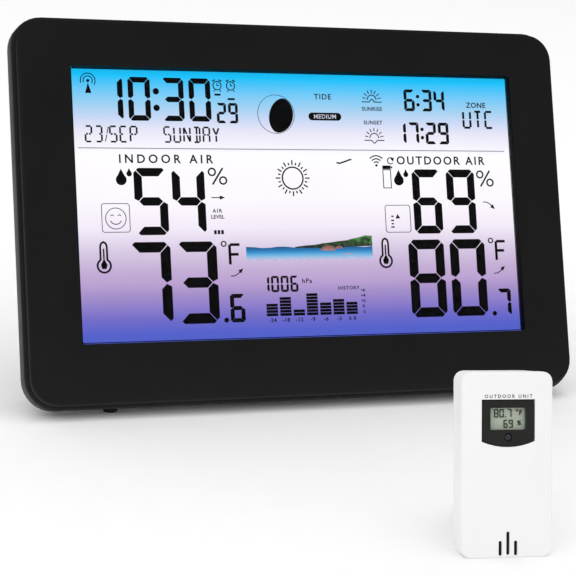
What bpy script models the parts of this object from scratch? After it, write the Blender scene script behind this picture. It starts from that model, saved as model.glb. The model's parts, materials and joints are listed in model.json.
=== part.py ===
"""Home weather station: a leaning colour-display console and its small wireless sensor.

Sizes are in millimetres and become metres where a mesh is made. The console is modelled upright in
its own frame (x to the right, y from the front face to the back, z up its face) and leans back on a
fold-out leg. The sensor has a frame of the same kind, stands in front of the console and leans back
on a leg of its own. World +Z is up and the console faces -Y.
"""

import math

import bmesh
import bpy
from mathutils import Matrix, Vector

MM = 0.001
GAP = 0.3  # between pieces that touch on the real object

# --- Console, in its own frame -------------------------------------------------------------
CONSOLE_LEAN = 20.0  # degrees
CONSOLE_Y = 34.97  # of the console's frame, so that the whole set is centred on the origin
BODY_W, BODY_H = 205.2, 133.4
BODY_CORNER = 10.8
FACE_INSET = 1.3  # the face plate is this much smaller than the body all round
FACE_T = 2.6
FACE_CORNER = 9.5
GROOVE = 1.1  # shadow line between face plate and rear housing
SKIRT_T = 1.6  # wall behind the face plate that enters the rear housing
SKIRT_BACK = 8.0
BAND_FRONT = FACE_T + GROOVE
BAND_BACK = 12.6
WALL = 2.0
BACK_WALL = 2.4
BULGE_W, BULGE_BOTTOM, BULGE_TOP = 186.0, 10.0, 122.0
BACK = 28.0
VIEW_W, VIEW_H, VIEW_Z = 166.0, 94.0, 69.0  # visible display area and the height of its middle
FOOT_R, FOOT_H, FOOT_X, FOOT_DEEP, FOOT_LOW = 2.4, 3.0, 72.0, 9.7, 4.1
INLET_Y, INLET_Z = 18.4, 30.0
VENT_X, VENT_Z, VENT_COUNT, VENT_PITCH = -74.0, 50.0, 5, 4.0
SOUND_X, SOUND_Z, SOUND_REACH = -62.0, 78.0, 4.0  # seven holes: one in the middle and six around
HANGER_X, HANGER_Z, HANGER_R, HANGER_SLOT = 56.0, 110.0, 3.6, 3.6

# --- Display stack: front and back of each layer ---------------------------------------------
LENS_Y = (0.4, 2.5)
GLASS_Y = (2.9, 5.1)
FILM_Y = (5.4, 5.8)
GUIDE_Y = (6.1, 8.6)
REFLECTOR_Y = (8.9, 9.2)
TRAY_Y = (5.4, 10.3)
TRAY_W, TRAY_BOTTOM, TRAY_TOP, TRAY_WALL = 178.0, 18.6, 121.4, 1.6

# --- Boards behind the display ---------------------------------------------------------------
BOARD_Y = (11.0, 12.6)
BOARD_W, BOARD_BOTTOM, BOARD_TOP = 164.0, 22.0, 112.0
FLEX_W, FLEX_T = 60.0, 0.25
KEY_COUNT, KEY_PITCH, KEY_Z = 6, 19.0, 97.0
KEY_W, KEY_H, KEY_PROUD = 12.0, 6.0, 0.8
SNOOZE_W, SNOOZE_D, SNOOZE_Y, SNOOZE_PROUD = 64.0, 8.0, 19.5, 1.2

# --- Battery bay: three AAA cells side by side -------------------------------------------------
CELL_R, CELL_L, CELL_PITCH = 5.25, 44.5, 11.4
BAY_X = (33.0, 85.8)
BAY_Z = (17.6, 52.0)
BAY_FLOOR = 15.2
BAY_WALL = 1.2
CELL_Y = 20.75
DOOR_T = 1.6
DOOR_LIP = 1.4

# --- Fold-out leg of the console ---------------------------------------------------------------
LEG_W, LEG_T, LEG_L = 52.0, 3.6, 46.0
LEG_SWING = 12.0  # degrees behind the vertical when it stands
LEG_PIVOT = (25.0, 56.0)  # y, z
RECESS_HALF, RECESS_FLOOR, RECESS_TOP = 27.0, 21.0, 60.0
PIN_R, BARREL_R = 1.0, 2.4

# --- Sensor, in its own frame --------------------------------------------------------------------
SENSOR_LEAN, SENSOR_YAW = 15.0, -6.4  # degrees
SENSOR_X, SENSOR_Y = 4.57, -100.71
SENSOR_W, SENSOR_H, SENSOR_T = 27.2, 52.6, 13.0
SENSOR_BACK_W = 24.0  # the back shell is narrower than the front one
SENSOR_CORNER, SENSOR_RIM, SENSOR_WALL = 2.8, 0.8, 1.2
SPLIT_Y = 4.7  # where the sensor's two shells meet
BASE_Z = 4.7  # floor of the sensor's hollow, above its slanted foot
CAP_R, CAP_Z = 10.4, 24.0
SENSOR_KEY_Z = 47.2
SENSOR_PIVOT = (15.0, 43.5)  # y, z
SENSOR_LEG_W, SENSOR_LEG_T, SENSOR_LEG_L = 9.6, 1.8, 38.8
SENSOR_SWING = 12.0
LUG_X = 6.0

FINISHES = {  # colour, roughness, metallic
    "black_abs": ("#1F1F1F", 0.45, 0.0),
    "dark_abs": ("#2A2A2A", 0.5, 0.0),
    "white_abs": ("#F3F3F3", 0.4, 0.0),
    "clear_pmma": ("#E9EEF2", 0.05, 0.0),
    "glass": ("#C9CFE0", 0.05, 0.0),
    "colour_film": ("#C4A8D6", 0.5, 0.0),
    "white_film": ("#F5F5F5", 0.6, 0.0),
    "smoked_pmma": ("#2F2F30", 0.15, 0.0),
    "grey_lcd": ("#9AA592", 0.2, 0.0),
    "circuit_board": ("#1F5A34", 0.5, 0.0),
    "epoxy": ("#161616", 0.3, 0.0),
    "polyimide": ("#B9762A", 0.4, 0.0),
    "ferrite": ("#3A3A3C", 0.7, 0.0),
    "copper": ("#B56A3A", 0.3, 1.0),
    "nickel": ("#C8C8C4", 0.3, 1.0),
    "steel": ("#8E9094", 0.35, 1.0),
    "rubber": ("#1A1A1A", 0.8, 0.0),
    "cell_sleeve": ("#3E6FA8", 0.35, 0.0),
    "led_pipe": ("#D8D8D8", 0.2, 0.0),
}


def linear(hex_colour):
    """Turn an sRGB hex colour into linear red, green, blue and alpha."""
    channels = [int(hex_colour[i : i + 2], 16) / 255 for i in (1, 3, 5)]
    return [c / 12.92 if c <= 0.04045 else ((c + 0.055) / 1.055) ** 2.4 for c in channels] + [1.0]


def material(finish):
    """Get or make the Principled material of a finish."""
    made = bpy.data.materials.get(finish)
    if made:
        return made
    colour, roughness, metallic = FINISHES[finish]
    made = bpy.data.materials.new(finish)
    made.use_nodes = True
    shader = made.node_tree.nodes["Principled BSDF"]
    shader.inputs["Base Color"].default_value = linear(colour)
    shader.inputs["Roughness"].default_value = roughness
    shader.inputs["Metallic"].default_value = metallic
    return made


def link(name, data, finish, frame, at, turn):
    """Put an object in the parts collection, or among the cutters when it has no finish."""
    thing = bpy.data.objects.new(name, data)
    thing.location = Vector(at) * MM
    thing.rotation_euler = [math.radians(a) for a in turn]
    thing.parent = frame
    if finish:
        parts.objects.link(thing)
        data.materials.append(material(finish))
    else:
        cutters.objects.link(thing)
        thing.hide_render = True
        thing.display_type = "WIRE"
    return thing


def solid(name, bm, finish, frame, at=(0, 0, 0), turn=(0, 0, 0), smooth=False):
    """Make an object from a bmesh in millimetres; without a finish it is a cutter."""
    bmesh.ops.scale(bm, vec=(MM, MM, MM), verts=bm.verts)
    bmesh.ops.recalc_face_normals(bm, faces=bm.faces)
    mesh = bpy.data.meshes.new(name)
    bm.to_mesh(mesh)
    bm.free()
    if smooth:
        mesh.shade_smooth()
        mesh.set_sharp_from_angle(angle=math.radians(35))
    return link(name, mesh, finish, frame, at, turn)


def box(width, depth, height):
    """A plain box around the origin."""
    bm = bmesh.new()
    bmesh.ops.create_cube(bm, size=1.0)
    bmesh.ops.scale(bm, vec=(width, depth, height), verts=bm.verts)
    return bm


def panel(width, depth, height, corner, front_rim=0.0, back_rim=0.0, steps=6):
    """A box whose four corners, seen along y, are round, with optional rounded rims."""
    bm = box(width, depth, height)
    along_y = [e for e in bm.edges if abs(e.verts[0].co.y - e.verts[1].co.y) > depth / 2]
    bmesh.ops.bevel(bm, geom=along_y, offset=corner, segments=steps, profile=0.5, affect="EDGES")
    for rim, side in ((front_rim, -1), (back_rim, 1)):
        if rim:
            edges = [e for e in bm.edges if all(v.co.y * side > depth / 2 - 1e-4 for v in e.verts)]
            bmesh.ops.bevel(bm, geom=edges, offset=rim, segments=3, profile=0.5, affect="EDGES")
    return bm


def rod(radius, length, axis="Y", segments=24):
    """A cylinder around the origin along an axis."""
    bm = bmesh.new()
    bmesh.ops.create_cone(
        bm, cap_ends=True, segments=segments, radius1=radius, radius2=radius, depth=length
    )
    if axis == "X":
        bmesh.ops.rotate(bm, matrix=Matrix.Rotation(math.pi / 2, 3, "Y"), verts=bm.verts)
    if axis == "Y":
        bmesh.ops.rotate(bm, matrix=Matrix.Rotation(-math.pi / 2, 3, "X"), verts=bm.verts)
    return bm


def boolean(target, tool, operation="DIFFERENCE"):
    """Add a Boolean modifier with an exact solver."""
    step = target.modifiers.new(tool.name, "BOOLEAN")
    step.operation = operation
    step.solver = "EXACT"
    step.object = tool


def cut(target, name, bm, at, turn=(0, 0, 0)):
    """Cut a shape out of an object, in the object's own frame."""
    boolean(target, solid(name, bm, None, target.parent, at, turn))


def join(target, name, bm, at, turn=(0, 0, 0)):
    """Join a shape to an object, in the object's own frame."""
    boolean(target, solid(name, bm, None, target.parent, at, turn), "UNION")


def turned(name, profile, finish, frame, at, turn, steps=24):
    """A turned piece: the profile is (radius, height) from its top to its bottom."""
    bm = bmesh.new()
    rings = [bm.verts.new((radius * MM, 0, height * MM)) for radius, height in profile]
    for upper, lower in zip(rings, rings[1:]):
        bm.edges.new((upper, lower))
    mesh = bpy.data.meshes.new(name)
    bm.to_mesh(mesh)
    bm.free()
    piece = link(name, mesh, finish, frame, at, turn)
    screw = piece.modifiers.new("turn", "SCREW")
    screw.steps = screw.render_steps = steps
    screw.use_merge_vertices = True
    screw.merge_threshold = 0.00001
    screw.use_smooth_shade = False
    return piece


def wire(name, points, radius, finish, frame, at=(0, 0, 0), turn=(0, 0, 0), rounding=1):
    """A wire through points in millimetres, closed at both ends."""
    curve = bpy.data.curves.new(name, "CURVE")
    curve.dimensions = "3D"
    curve.bevel_depth = radius * MM
    curve.bevel_resolution = rounding
    curve.use_fill_caps = True
    spline = curve.splines.new("POLY")
    spline.points.add(len(points) - 1)
    for knot, point in zip(spline.points, points):
        knot.co = (*(Vector(point) * MM), 1.0)
    return link(name, curve, finish, frame, at, turn)


def span(pair):
    """Length and middle of a (low, high) pair."""
    return pair[1] - pair[0], (pair[0] + pair[1]) / 2


def layer(name, width, bottom, top, depths, finish, corner=1.0):
    """A flat layer of the display stack."""
    depth, middle = span(depths)
    height, z = span((bottom, top))
    return solid(name, panel(width, depth, height, corner, steps=2), finish, console, (0, middle, z))


# --- Console ---------------------------------------------------------------------------------


def build_front_frame():
    """Face plate with its window, the skirt behind it and four screw bosses."""
    width, height = BODY_W - 2 * FACE_INSET, BODY_H - 2 * FACE_INSET
    middle = BODY_H / 2
    face = panel(width, FACE_T, height, FACE_CORNER, front_rim=0.8, steps=8)
    frame = solid("front_frame", face, "black_abs", console, (0, FACE_T / 2, middle))
    skirt_w, skirt_h = width - 2.4, height - 2.4
    skirt_depth, skirt_y = span((FACE_T - 0.6, SKIRT_BACK))
    skirt_corner = FACE_CORNER - 1.2
    join(frame, "skirt", panel(skirt_w, skirt_depth, skirt_h, skirt_corner), (0, skirt_y, middle))
    hollow_w, hollow_h = skirt_w - 2 * SKIRT_T, skirt_h - 2 * SKIRT_T
    hollow_corner = skirt_corner - SKIRT_T
    hollow = panel(hollow_w, 10.0, hollow_h, hollow_corner)
    cut(frame, "skirt_hollow", hollow, (0, FACE_T + 5.0, middle))
    window = panel(VIEW_W + 2 * GAP, 8.0, VIEW_H + 2 * GAP, 0.8, steps=2)
    cut(frame, "window", window, (0, 1.0, VIEW_Z))
    for index, (x, z) in enumerate(screw_places()):
        join(frame, f"front_boss_{index}", rod(3.0, 5.8, segments=16), (x, FACE_T + 2.6, z))
        cut(frame, f"pilot_{index}", rod(1.6, 5.8, segments=12), (x, FACE_T + 3.2, z))


def screw_places():
    """The x and z of the four case screws, in the flange round the bulge."""
    x = BODY_W / 2 - 6.4
    return [(-x, 8.6), (x, 8.6), (-x, BODY_H - 8.6), (x, BODY_H - 8.6)]


def build_rear_housing():
    """Side band and bulge as one shell, with bay, leg recess, vents, key holes and hangers."""
    middle = BODY_H / 2
    depth, y = span((BAND_FRONT, BAND_BACK))
    band = panel(BODY_W, depth, BODY_H, BODY_CORNER, front_rim=0.4, back_rim=3.0, steps=8)
    housing = solid("rear_housing", band, "dark_abs", console, (0, y, middle))
    depth, y = span((BAND_BACK - 3.0, BACK))
    height, bulge_z = span((BULGE_BOTTOM, BULGE_TOP))
    join(housing, "bulge", panel(BULGE_W, depth, height, 12.0, back_rim=4.0), (0, y, bulge_z))

    inner_w, inner_h = BODY_W - 2 * WALL, BODY_H - 2 * WALL
    depth, y = span((BAND_FRONT - 2.0, BAND_BACK - WALL))
    cut(housing, "band_hollow", panel(inner_w, depth, inner_h, BODY_CORNER - WALL), (0, y, middle))
    depth, y = span((BAND_BACK - WALL - 1.0, BACK - BACK_WALL))
    hollow = solid(
        "bulge_hollow",
        panel(BULGE_W - 2 * WALL, depth, height - 2 * WALL, 10.0, back_rim=2.5),
        None,
        console,
        (0, y, bulge_z),
    )
    bay_w, bay_x = span(BAY_X)
    bay_h, bay_z = span(BAY_Z)
    block_y = BAY_FLOOR - BAY_WALL + 10.0
    bay_block = box(bay_w + 2 * BAY_WALL, 20.0, bay_h + 2 * BAY_WALL)
    cut(hollow, "bay_walls", bay_block, (bay_x, block_y, bay_z))
    side = RECESS_HALF + 1.6
    recess_z = RECESS_TOP / 2 - 5.0
    cut(hollow, "recess_walls", box(2 * side, 20.0, RECESS_TOP + 13.2), (0, RECESS_FLOOR + 8.4, recess_z))
    boolean(housing, hollow)

    for index, (x, z) in enumerate(screw_places()):
        join(housing, f"rear_boss_{index}", rod(3.6, 3.0, segments=16), (x, BAND_BACK - 2.7, z))
        cut(housing, f"screw_path_{index}", rod(1.6, 12.0, segments=12), (x, BAND_BACK - 4.0, z))
        cut(housing, f"counterbore_{index}", rod(2.8, 5.0, segments=16), (x, BAND_BACK - 0.6, z))

    cut(housing, "bay", box(bay_w, 20.0, bay_h), (bay_x, BAY_FLOOR + 10.0, bay_z))
    rebate_h, rebate_z = span((BULGE_BOTTOM - 5.0, BAY_Z[1] + DOOR_LIP))
    rebate = box(bay_w + 2 * DOOR_LIP, 6.0, rebate_h)
    cut(housing, "door_rebate", rebate, (bay_x, BACK - DOOR_T - GAP + 3.0, rebate_z))
    recess = box(2 * RECESS_HALF, 12.0, RECESS_TOP + 10.0)
    cut(housing, "leg_recess", recess, (0, RECESS_FLOOR + 6.0, recess_z))
    pin_y, pin_z = LEG_PIVOT
    cut(housing, "pin_bore", rod(PIN_R + GAP, 2 * RECESS_HALF + 2.6, "X", 12), (0, pin_y, pin_z))

    for index in range(KEY_COUNT):
        hole = panel(KEY_W + 2 * GAP, 8.0, KEY_H + 2 * GAP, 1.5, steps=3)
        cut(housing, f"key_hole_{index}", hole, (key_x(index), BACK - 1.0, KEY_Z))
    slot = box(SNOOZE_W + 2 * GAP, SNOOZE_D + 2 * GAP, 8.0)
    cut(housing, "snooze_hole", slot, (0, SNOOZE_Y, BULGE_TOP - 1.0))
    for index in range(VENT_COUNT):
        vent = panel(1.4, 8.0, 14.0, 0.6, steps=2)
        cut(housing, f"vent_{index}", vent, (VENT_X + VENT_PITCH * index, BACK - 1.0, VENT_Z))
    for index in range(7):
        angle = math.radians(60 * index)
        reach = 0.0 if index == 6 else SOUND_REACH
        x, z = SOUND_X + reach * math.cos(angle), SOUND_Z + reach * math.sin(angle)
        place = (x, BACK - 1.0, z)
        cut(housing, f"sound_hole_{index}", rod(0.9, 8.0, segments=8), place)
    for side in (-1, 1):
        x = HANGER_X * side
        cut(housing, f"hanger_head_{side}", rod(HANGER_R, 8.0, segments=20), (x, BACK - 1.0, HANGER_Z))
        slot = box(HANGER_SLOT, 8.0, 6.0)
        cut(housing, f"hanger_slot_{side}", slot, (x, BACK - 1.0, HANGER_Z + 5.0))
        foot_y, foot_z = foot_place()
        socket, at = rod(FOOT_R + GAP, FOOT_H + 2.0, "Z"), (FOOT_X * side, foot_y, foot_z - 0.6)
        cut(housing, f"foot_socket_{side}", socket, at, (CONSOLE_LEAN, 0, 0))
    cut(housing, "inlet_hole", rod(3.6, 6.0, "X", 20), (-BULGE_W / 2, INLET_Y, INLET_Z))


def foot_place():
    """The middle of a foot in the console's frame: level with the ground once the console leans."""
    lean = math.radians(CONSOLE_LEAN)
    low = -FOOT_LOW + FOOT_H / 2
    return (
        FOOT_DEEP * math.cos(lean) - low * math.sin(lean),
        FOOT_DEEP * math.sin(lean) + low * math.cos(lean),
    )


def key_x(index):
    """The place of a rear key, counted from the left seen from the front."""
    return (index - (KEY_COUNT - 1) / 2) * KEY_PITCH


def build_display():
    """Lens, glass cell, colour film, light guide, reflector and the tray that holds them."""
    bottom, top = VIEW_Z - VIEW_H / 2, VIEW_Z + VIEW_H / 2
    layer("window_lens", VIEW_W, bottom, top, LENS_Y, "clear_pmma", corner=0.6)
    layer("lcd_panel", VIEW_W + 8.0, bottom - 7.0, top + 4.0, GLASS_Y, "glass")
    inside_bottom, inside_top = TRAY_BOTTOM + TRAY_WALL + 0.4, TRAY_TOP - TRAY_WALL - 0.4
    layer("colour_film", VIEW_W + 2.0, inside_bottom, inside_top, FILM_Y, "colour_film")
    layer("light_guide", VIEW_W - 1.0, inside_bottom, inside_top, GUIDE_Y, "clear_pmma")
    layer("reflector_sheet", VIEW_W - 1.0, inside_bottom, inside_top, REFLECTOR_Y, "white_film")
    tray = layer("backlight_tray", TRAY_W, TRAY_BOTTOM, TRAY_TOP, TRAY_Y, "white_film", corner=2.0)
    height, z = span((TRAY_BOTTOM + TRAY_WALL, TRAY_TOP - TRAY_WALL))
    pocket = box(TRAY_W - 2 * TRAY_WALL, 6.0, height)
    cut(tray, "tray_pocket", pocket, (0, TRAY_Y[1] - 0.8 - 3.0, z))

    strip_x = TRAY_W / 2 - TRAY_WALL - 1.0
    depth, y = span((FILM_Y[1] + GAP, REFLECTOR_Y[1]))
    strip = solid("led_strip", box(1.0, depth, height - 6.0), "white_film", console, (-strip_x, y, z))
    for index in range(6):
        lamp = box(1.6, 2.4, 4.0)
        join(strip, f"lamp_{index}", lamp, (1.1 - strip_x, y, z + (index - 2.5) * 15.0))

    path = [(5.55, 17.9), (5.55, 15.4)]
    path += [(6.35 - 0.8 * math.cos(a), 15.4 - 0.8 * math.sin(a)) for a in (0.52, 1.05, 1.57)]
    path += [(9.4, 14.6)]
    path += [(9.4 + 0.8 * math.sin(a), 15.4 - 0.8 * math.cos(a)) for a in (0.52, 1.05, 1.57)]
    path += [(10.2, 17.0), (10.6, 18.3), (10.6, 21.4)]
    bm = bmesh.new()
    row = [bm.verts.new((-FLEX_W / 2, y, z)) for y, z in path]
    edges = [bm.edges.new(pair) for pair in zip(row, row[1:])]
    swept = bmesh.ops.extrude_edge_only(bm, edges=edges)["geom"]
    moved = [v for v in swept if isinstance(v, bmesh.types.BMVert)]
    bmesh.ops.translate(bm, vec=(FLEX_W, 0, 0), verts=moved)
    flex = solid("display_flex", bm, "polyimide", console)
    skin = flex.modifiers.new("thickness", "SOLIDIFY")
    skin.thickness = FLEX_T * MM
    skin.offset = 0.0


def build_boards():
    """Main board and what stands on it, the key board, the radio and the clock antenna."""
    depth, y = span(BOARD_Y)
    height, z = span((BOARD_BOTTOM, BOARD_TOP))
    board = solid("main_board", box(BOARD_W, depth, height), "circuit_board", console, (0, y, z))
    cut(board, "leg_relief", box(2 * RECESS_HALF, 6.0, 8.0), (0, y, BOARD_BOTTOM))
    on_board = BOARD_Y[1] + GAP
    dome = [(0.0, 2.2), (3.0, 1.9), (5.2, 1.0), (6.0, 0.0), (0.0, 0.0)]
    turned("processor_blob", dome, "epoxy", console, (-20.0, on_board, 76.0), (-90, 0, 0), 20)
    disc = [(0.0, 3.0), (2.0, 3.0), (2.4, 3.4), (10.0, 3.4), (10.0, 0.0), (0.0, 0.0)]
    turned("buzzer", disc, "epoxy", console, (-62.0, on_board, 78.0), (-90, 0, 0), 24)
    solid("ferrite_rod", rod(4.0, 62.0, "X", 20), "ferrite", console, (22.0, 18.2, 79.0), smooth=True)
    coil = solid("antenna_coil", rod(5.6, 24.0, "X", 24), "copper", console, (22.0, 18.2, 79.0), smooth=True)
    cut(coil, "coil_bore", rod(4.0 + GAP, 30.0, "X", 20), (22.0, 18.2, 79.0))
    solid("radio_board", box(16.0, 1.0, 30.0), "circuit_board", console, (-48.0, 14.4, 46.0))
    route = [(0, 0, 0), (0, 3.0, 0), (0, 4.4, 1.2), (0, 4.6, 4.0), (0, 4.6, 16.0), (-1.2, 4.6, 18.8)]
    route += [(-4.0, 4.6, 20.0), (-20.0, 4.6, 20.0), (-22.8, 4.6, 18.8)]
    route += [(-24.0, 4.6, 16.0), (-24.0, 4.6, -22.0)]
    wire("radio_antenna", route, 0.5, "copper", console, (-50.0, 15.3, 60.0 - 17.0))
    probe = solid("hygro_element", box(5.0, 3.0, 7.0), "white_film", console, (-66.0, 17.6, 50.0))
    join(probe, "hygro_legs", box(2.4, 4.2, 1.0), (-66.0, 15.2, 48.0))

    inlet_x = -BULGE_W / 2 + WALL + GAP + 6.5
    inlet = solid("dc_inlet", box(13.0, 9.0, 9.0), "epoxy", console, (inlet_x, INLET_Y, INLET_Z))
    cut(inlet, "inlet_bore", rod(2.9, 20.0, "X", 20), (inlet_x - 7.0, INLET_Y, INLET_Z))
    join(inlet, "inlet_contact", rod(0.9, 10.0, "X", 10), (inlet_x + 0.6, INLET_Y, INLET_Z))

    strip = solid("key_board", box(118.0, 1.2, 13.0), "circuit_board", console, (0, 19.2, KEY_Z))
    for index in range(KEY_COUNT):
        join(strip, f"tact_{index}", box(6.0, 3.4, 6.0), (key_x(index), 21.0, KEY_Z))
        join(strip, f"plunger_{index}", rod(1.6, 2.0, segments=12), (key_x(index), 22.4, KEY_Z))
    switch = solid("snooze_switch", box(6.0, 6.0, 6.0), "epoxy", console, (0, 15.95, 110.0))
    join(switch, "snooze_plunger", rod(1.6, 3.0, "Z", 12), (0, 16.4, 113.2))


def build_keys():
    """Six rear keys and the long snooze bar on top of the bulge."""
    for index in range(KEY_COUNT):
        depth, y = span((BACK - BACK_WALL - 1.4, BACK + KEY_PROUD))
        shape = panel(KEY_W, depth, KEY_H, 1.2, back_rim=0.5, steps=3)
        key = solid(f"key_{index + 1}", shape, "dark_abs", console, (key_x(index), y, KEY_Z))
        flange = box(KEY_W + 3.0, 1.0, KEY_H + 3.0)
        join(key, f"key_flange_{index}", flange, (key_x(index), BACK - BACK_WALL - 0.9, KEY_Z))
    height, z = span((BULGE_TOP - WALL - 1.4, BULGE_TOP + SNOOZE_PROUD))
    shape = panel(SNOOZE_W, SNOOZE_D, height, 0.6, steps=2)
    bar = solid("snooze_bar", shape, "dark_abs", console, (0, SNOOZE_Y, z))
    flange_z = BULGE_TOP - WALL - 1.0
    join(bar, "snooze_flange", box(SNOOZE_W + 3.0, SNOOZE_D + 2.0, 1.0), (0, SNOOZE_Y, flange_z))
    join(bar, "snooze_stem", box(6.0, 3.0, 3.6), (0, 17.2, flange_z - 1.6))


def build_battery_bay():
    """Three cells, their springs and contact strips, and the door that slides down."""
    bay_w, bay_x = span(BAY_X)
    bay_h, bay_z = span(BAY_Z)
    half = CELL_L / 2
    profile = [(0.0, half), (1.9, half), (1.9, half - 1.0), (4.7, half - 1.0), (CELL_R, half - 1.5)]
    profile += [(CELL_R, -half + 0.4), (CELL_R - 0.4, -half), (0.0, -half)]
    for index in range(3):
        way = 1 if index % 2 == 0 else -1
        z = bay_z + (index - 1) * CELL_PITCH
        cell_at = (bay_x + 3.15 * way, CELL_Y, z)
        turned(f"battery_{index + 1}", profile, "cell_sleeve", console, cell_at, (0, 90 * way, 0), 20)
        turns, knots = 3.0, 30
        coil = []
        for knot in range(knots + 1):
            share = knot / knots
            angle = math.tau * turns * share
            radius = 3.6 - 1.4 * share
            coil.append((radius * math.cos(angle), radius * math.sin(angle), 0.35 + 5.2 * share))
        foot_x = bay_x - (bay_w / 2 - 1.0) * way
        foot_at = (foot_x, CELL_Y, z)
        wire(f"cell_spring_{index + 1}", coil, 0.35, "nickel", console, foot_at, (0, 90 * way, 0))
    for name, side in (("contact_strip_left", -1), ("contact_strip_right", 1)):
        at = (bay_x + side * (bay_w / 2 - 0.5), CELL_Y, bay_z)
        solid(name, box(0.4, 9.0, bay_h - 2.0), "nickel", console, at)

    height, z = span((BULGE_BOTTOM + 0.4, BAY_Z[1] + DOOR_LIP - GAP))
    bm = box(bay_w + 2 * (DOOR_LIP - GAP), DOOR_T, height)
    low_back = [e for e in bm.edges if all(v.co.y > 0 and v.co.z < 0 for v in e.verts)]
    bmesh.ops.bevel(bm, geom=low_back, offset=1.2, segments=3, profile=0.5, affect="EDGES")
    door = solid("battery_door", bm, "dark_abs", console, (bay_x, BACK - DOOR_T / 2, z))
    for index in range(4):
        cut(door, f"grip_{index}", box(16.0, 1.0, 0.9), (bay_x, BACK + 0.1, BULGE_BOTTOM + 5.0 + 1.9 * index))


def build_case_hardware():
    """Rubber feet and case screws."""
    foot_y, foot_z = foot_place()
    for name, side in (("foot_left", -1), ("foot_right", 1)):
        at = (FOOT_X * side, foot_y, foot_z)
        solid(name, rod(FOOT_R, FOOT_H, "Z"), "rubber", console, at, (CONSOLE_LEAN, 0, 0), smooth=True)
    for index, (x, z) in enumerate(screw_places()):
        profile = [(0.0, 1.7), (1.8, 1.7), (2.45, 1.1), (2.45, 0.0), (1.3, 0.0), (1.3, -6.0), (0.0, -6.6)]
        name = f"case_screw_{index + 1}"
        screw = turned(name, profile, "steel", console, (x, BAND_BACK - 2.7, z), (-90, 0, 0), 16)
        for turn in (0, 90):
            cut(screw, f"cross_{index}_{turn}", box(2.8, 1.6, 0.6), (x, BAND_BACK - 0.9, z), (0, turn, 0))


def build_leg():
    """The fold-out leg in its open place, its rubber strip and the steel pin."""
    pin_y, pin_z = LEG_PIVOT
    pin = rod(PIN_R, 2 * RECESS_HALF + 1.6, "X", 16)
    solid("stand_pin", pin, "steel", console, (0, pin_y, pin_z), smooth=True)
    hinge = bpy.data.objects.new("leg_hinge", None)
    parts.objects.link(hinge)
    hinge.parent = console
    hinge.location = Vector((0, pin_y, pin_z)) * MM
    hinge.rotation_euler = (math.radians(CONSOLE_LEAN + LEG_SWING), 0, 0)
    shape = box(LEG_W, LEG_T, LEG_L)
    low = [e for e in shape.edges if all(v.co.z < 0 for v in e.verts)]
    tips = [e for e in low if abs(e.calc_length() - LEG_T) < 0.01]
    bmesh.ops.bevel(shape, geom=tips, offset=6.0, segments=5, profile=0.5, affect="EDGES")
    leg = solid("stand_leg", shape, "dark_abs", hinge, (0, 0, -LEG_L / 2))
    join(leg, "leg_barrel", rod(BARREL_R, LEG_W, "X", 20), (0, 0, 0))
    cut(leg, "leg_bore", rod(PIN_R + GAP, LEG_W + 4.0, "X", 16), (0, 0, 0))
    sunk = panel(LEG_W - 14.0, 1.6, LEG_L - 16.0, 3.0, steps=3)
    cut(leg, "leg_panel", sunk, (0, LEG_T / 2, -LEG_L / 2 - 2.0))
    swing = math.radians(LEG_SWING)
    lowest = (LEG_L + LEG_T / 2 * math.sin(swing)) * math.cos(swing)
    height = pivot_height() - lowest - GAP
    reach = LEG_L * math.sin(swing)
    level = Matrix.Rotation(-swing, 3, "X")
    centre = level @ Vector((0, reach, height / 2 - pivot_height()))
    solid("leg_pad", box(LEG_W - 14.0, 5.0, height), "rubber", hinge, centre, (-LEG_SWING, 0, 0))


def pivot_height():
    """How high the leg's pin is above the ground."""
    lean = math.radians(CONSOLE_LEAN)
    return LEG_PIVOT[1] * math.cos(lean) - LEG_PIVOT[0] * math.sin(lean) + FOOT_LOW


# --- Sensor ------------------------------------------------------------------------------------


def sensor_slab(width, front, back, front_rim=0.0, back_rim=0.0):
    """The sensor's outline between two depths."""
    return panel(width, back - front, SENSOR_H, SENSOR_CORNER, front_rim, back_rim, 4)


def trim_sensor_base(shell, name):
    """Slant the underside so that the shell sits flat on the ground when it leans."""
    lean = math.radians(SENSOR_LEAN)
    down, along = 20.0, SENSOR_T / 2
    middle_y = down * math.sin(lean) + along * math.cos(lean)
    middle_z = along * math.sin(lean) - down * math.cos(lean)
    cut(shell, name, box(60.0, 60.0, 2 * down), (0, middle_y, middle_z), (SENSOR_LEAN, 0, 0))


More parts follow.
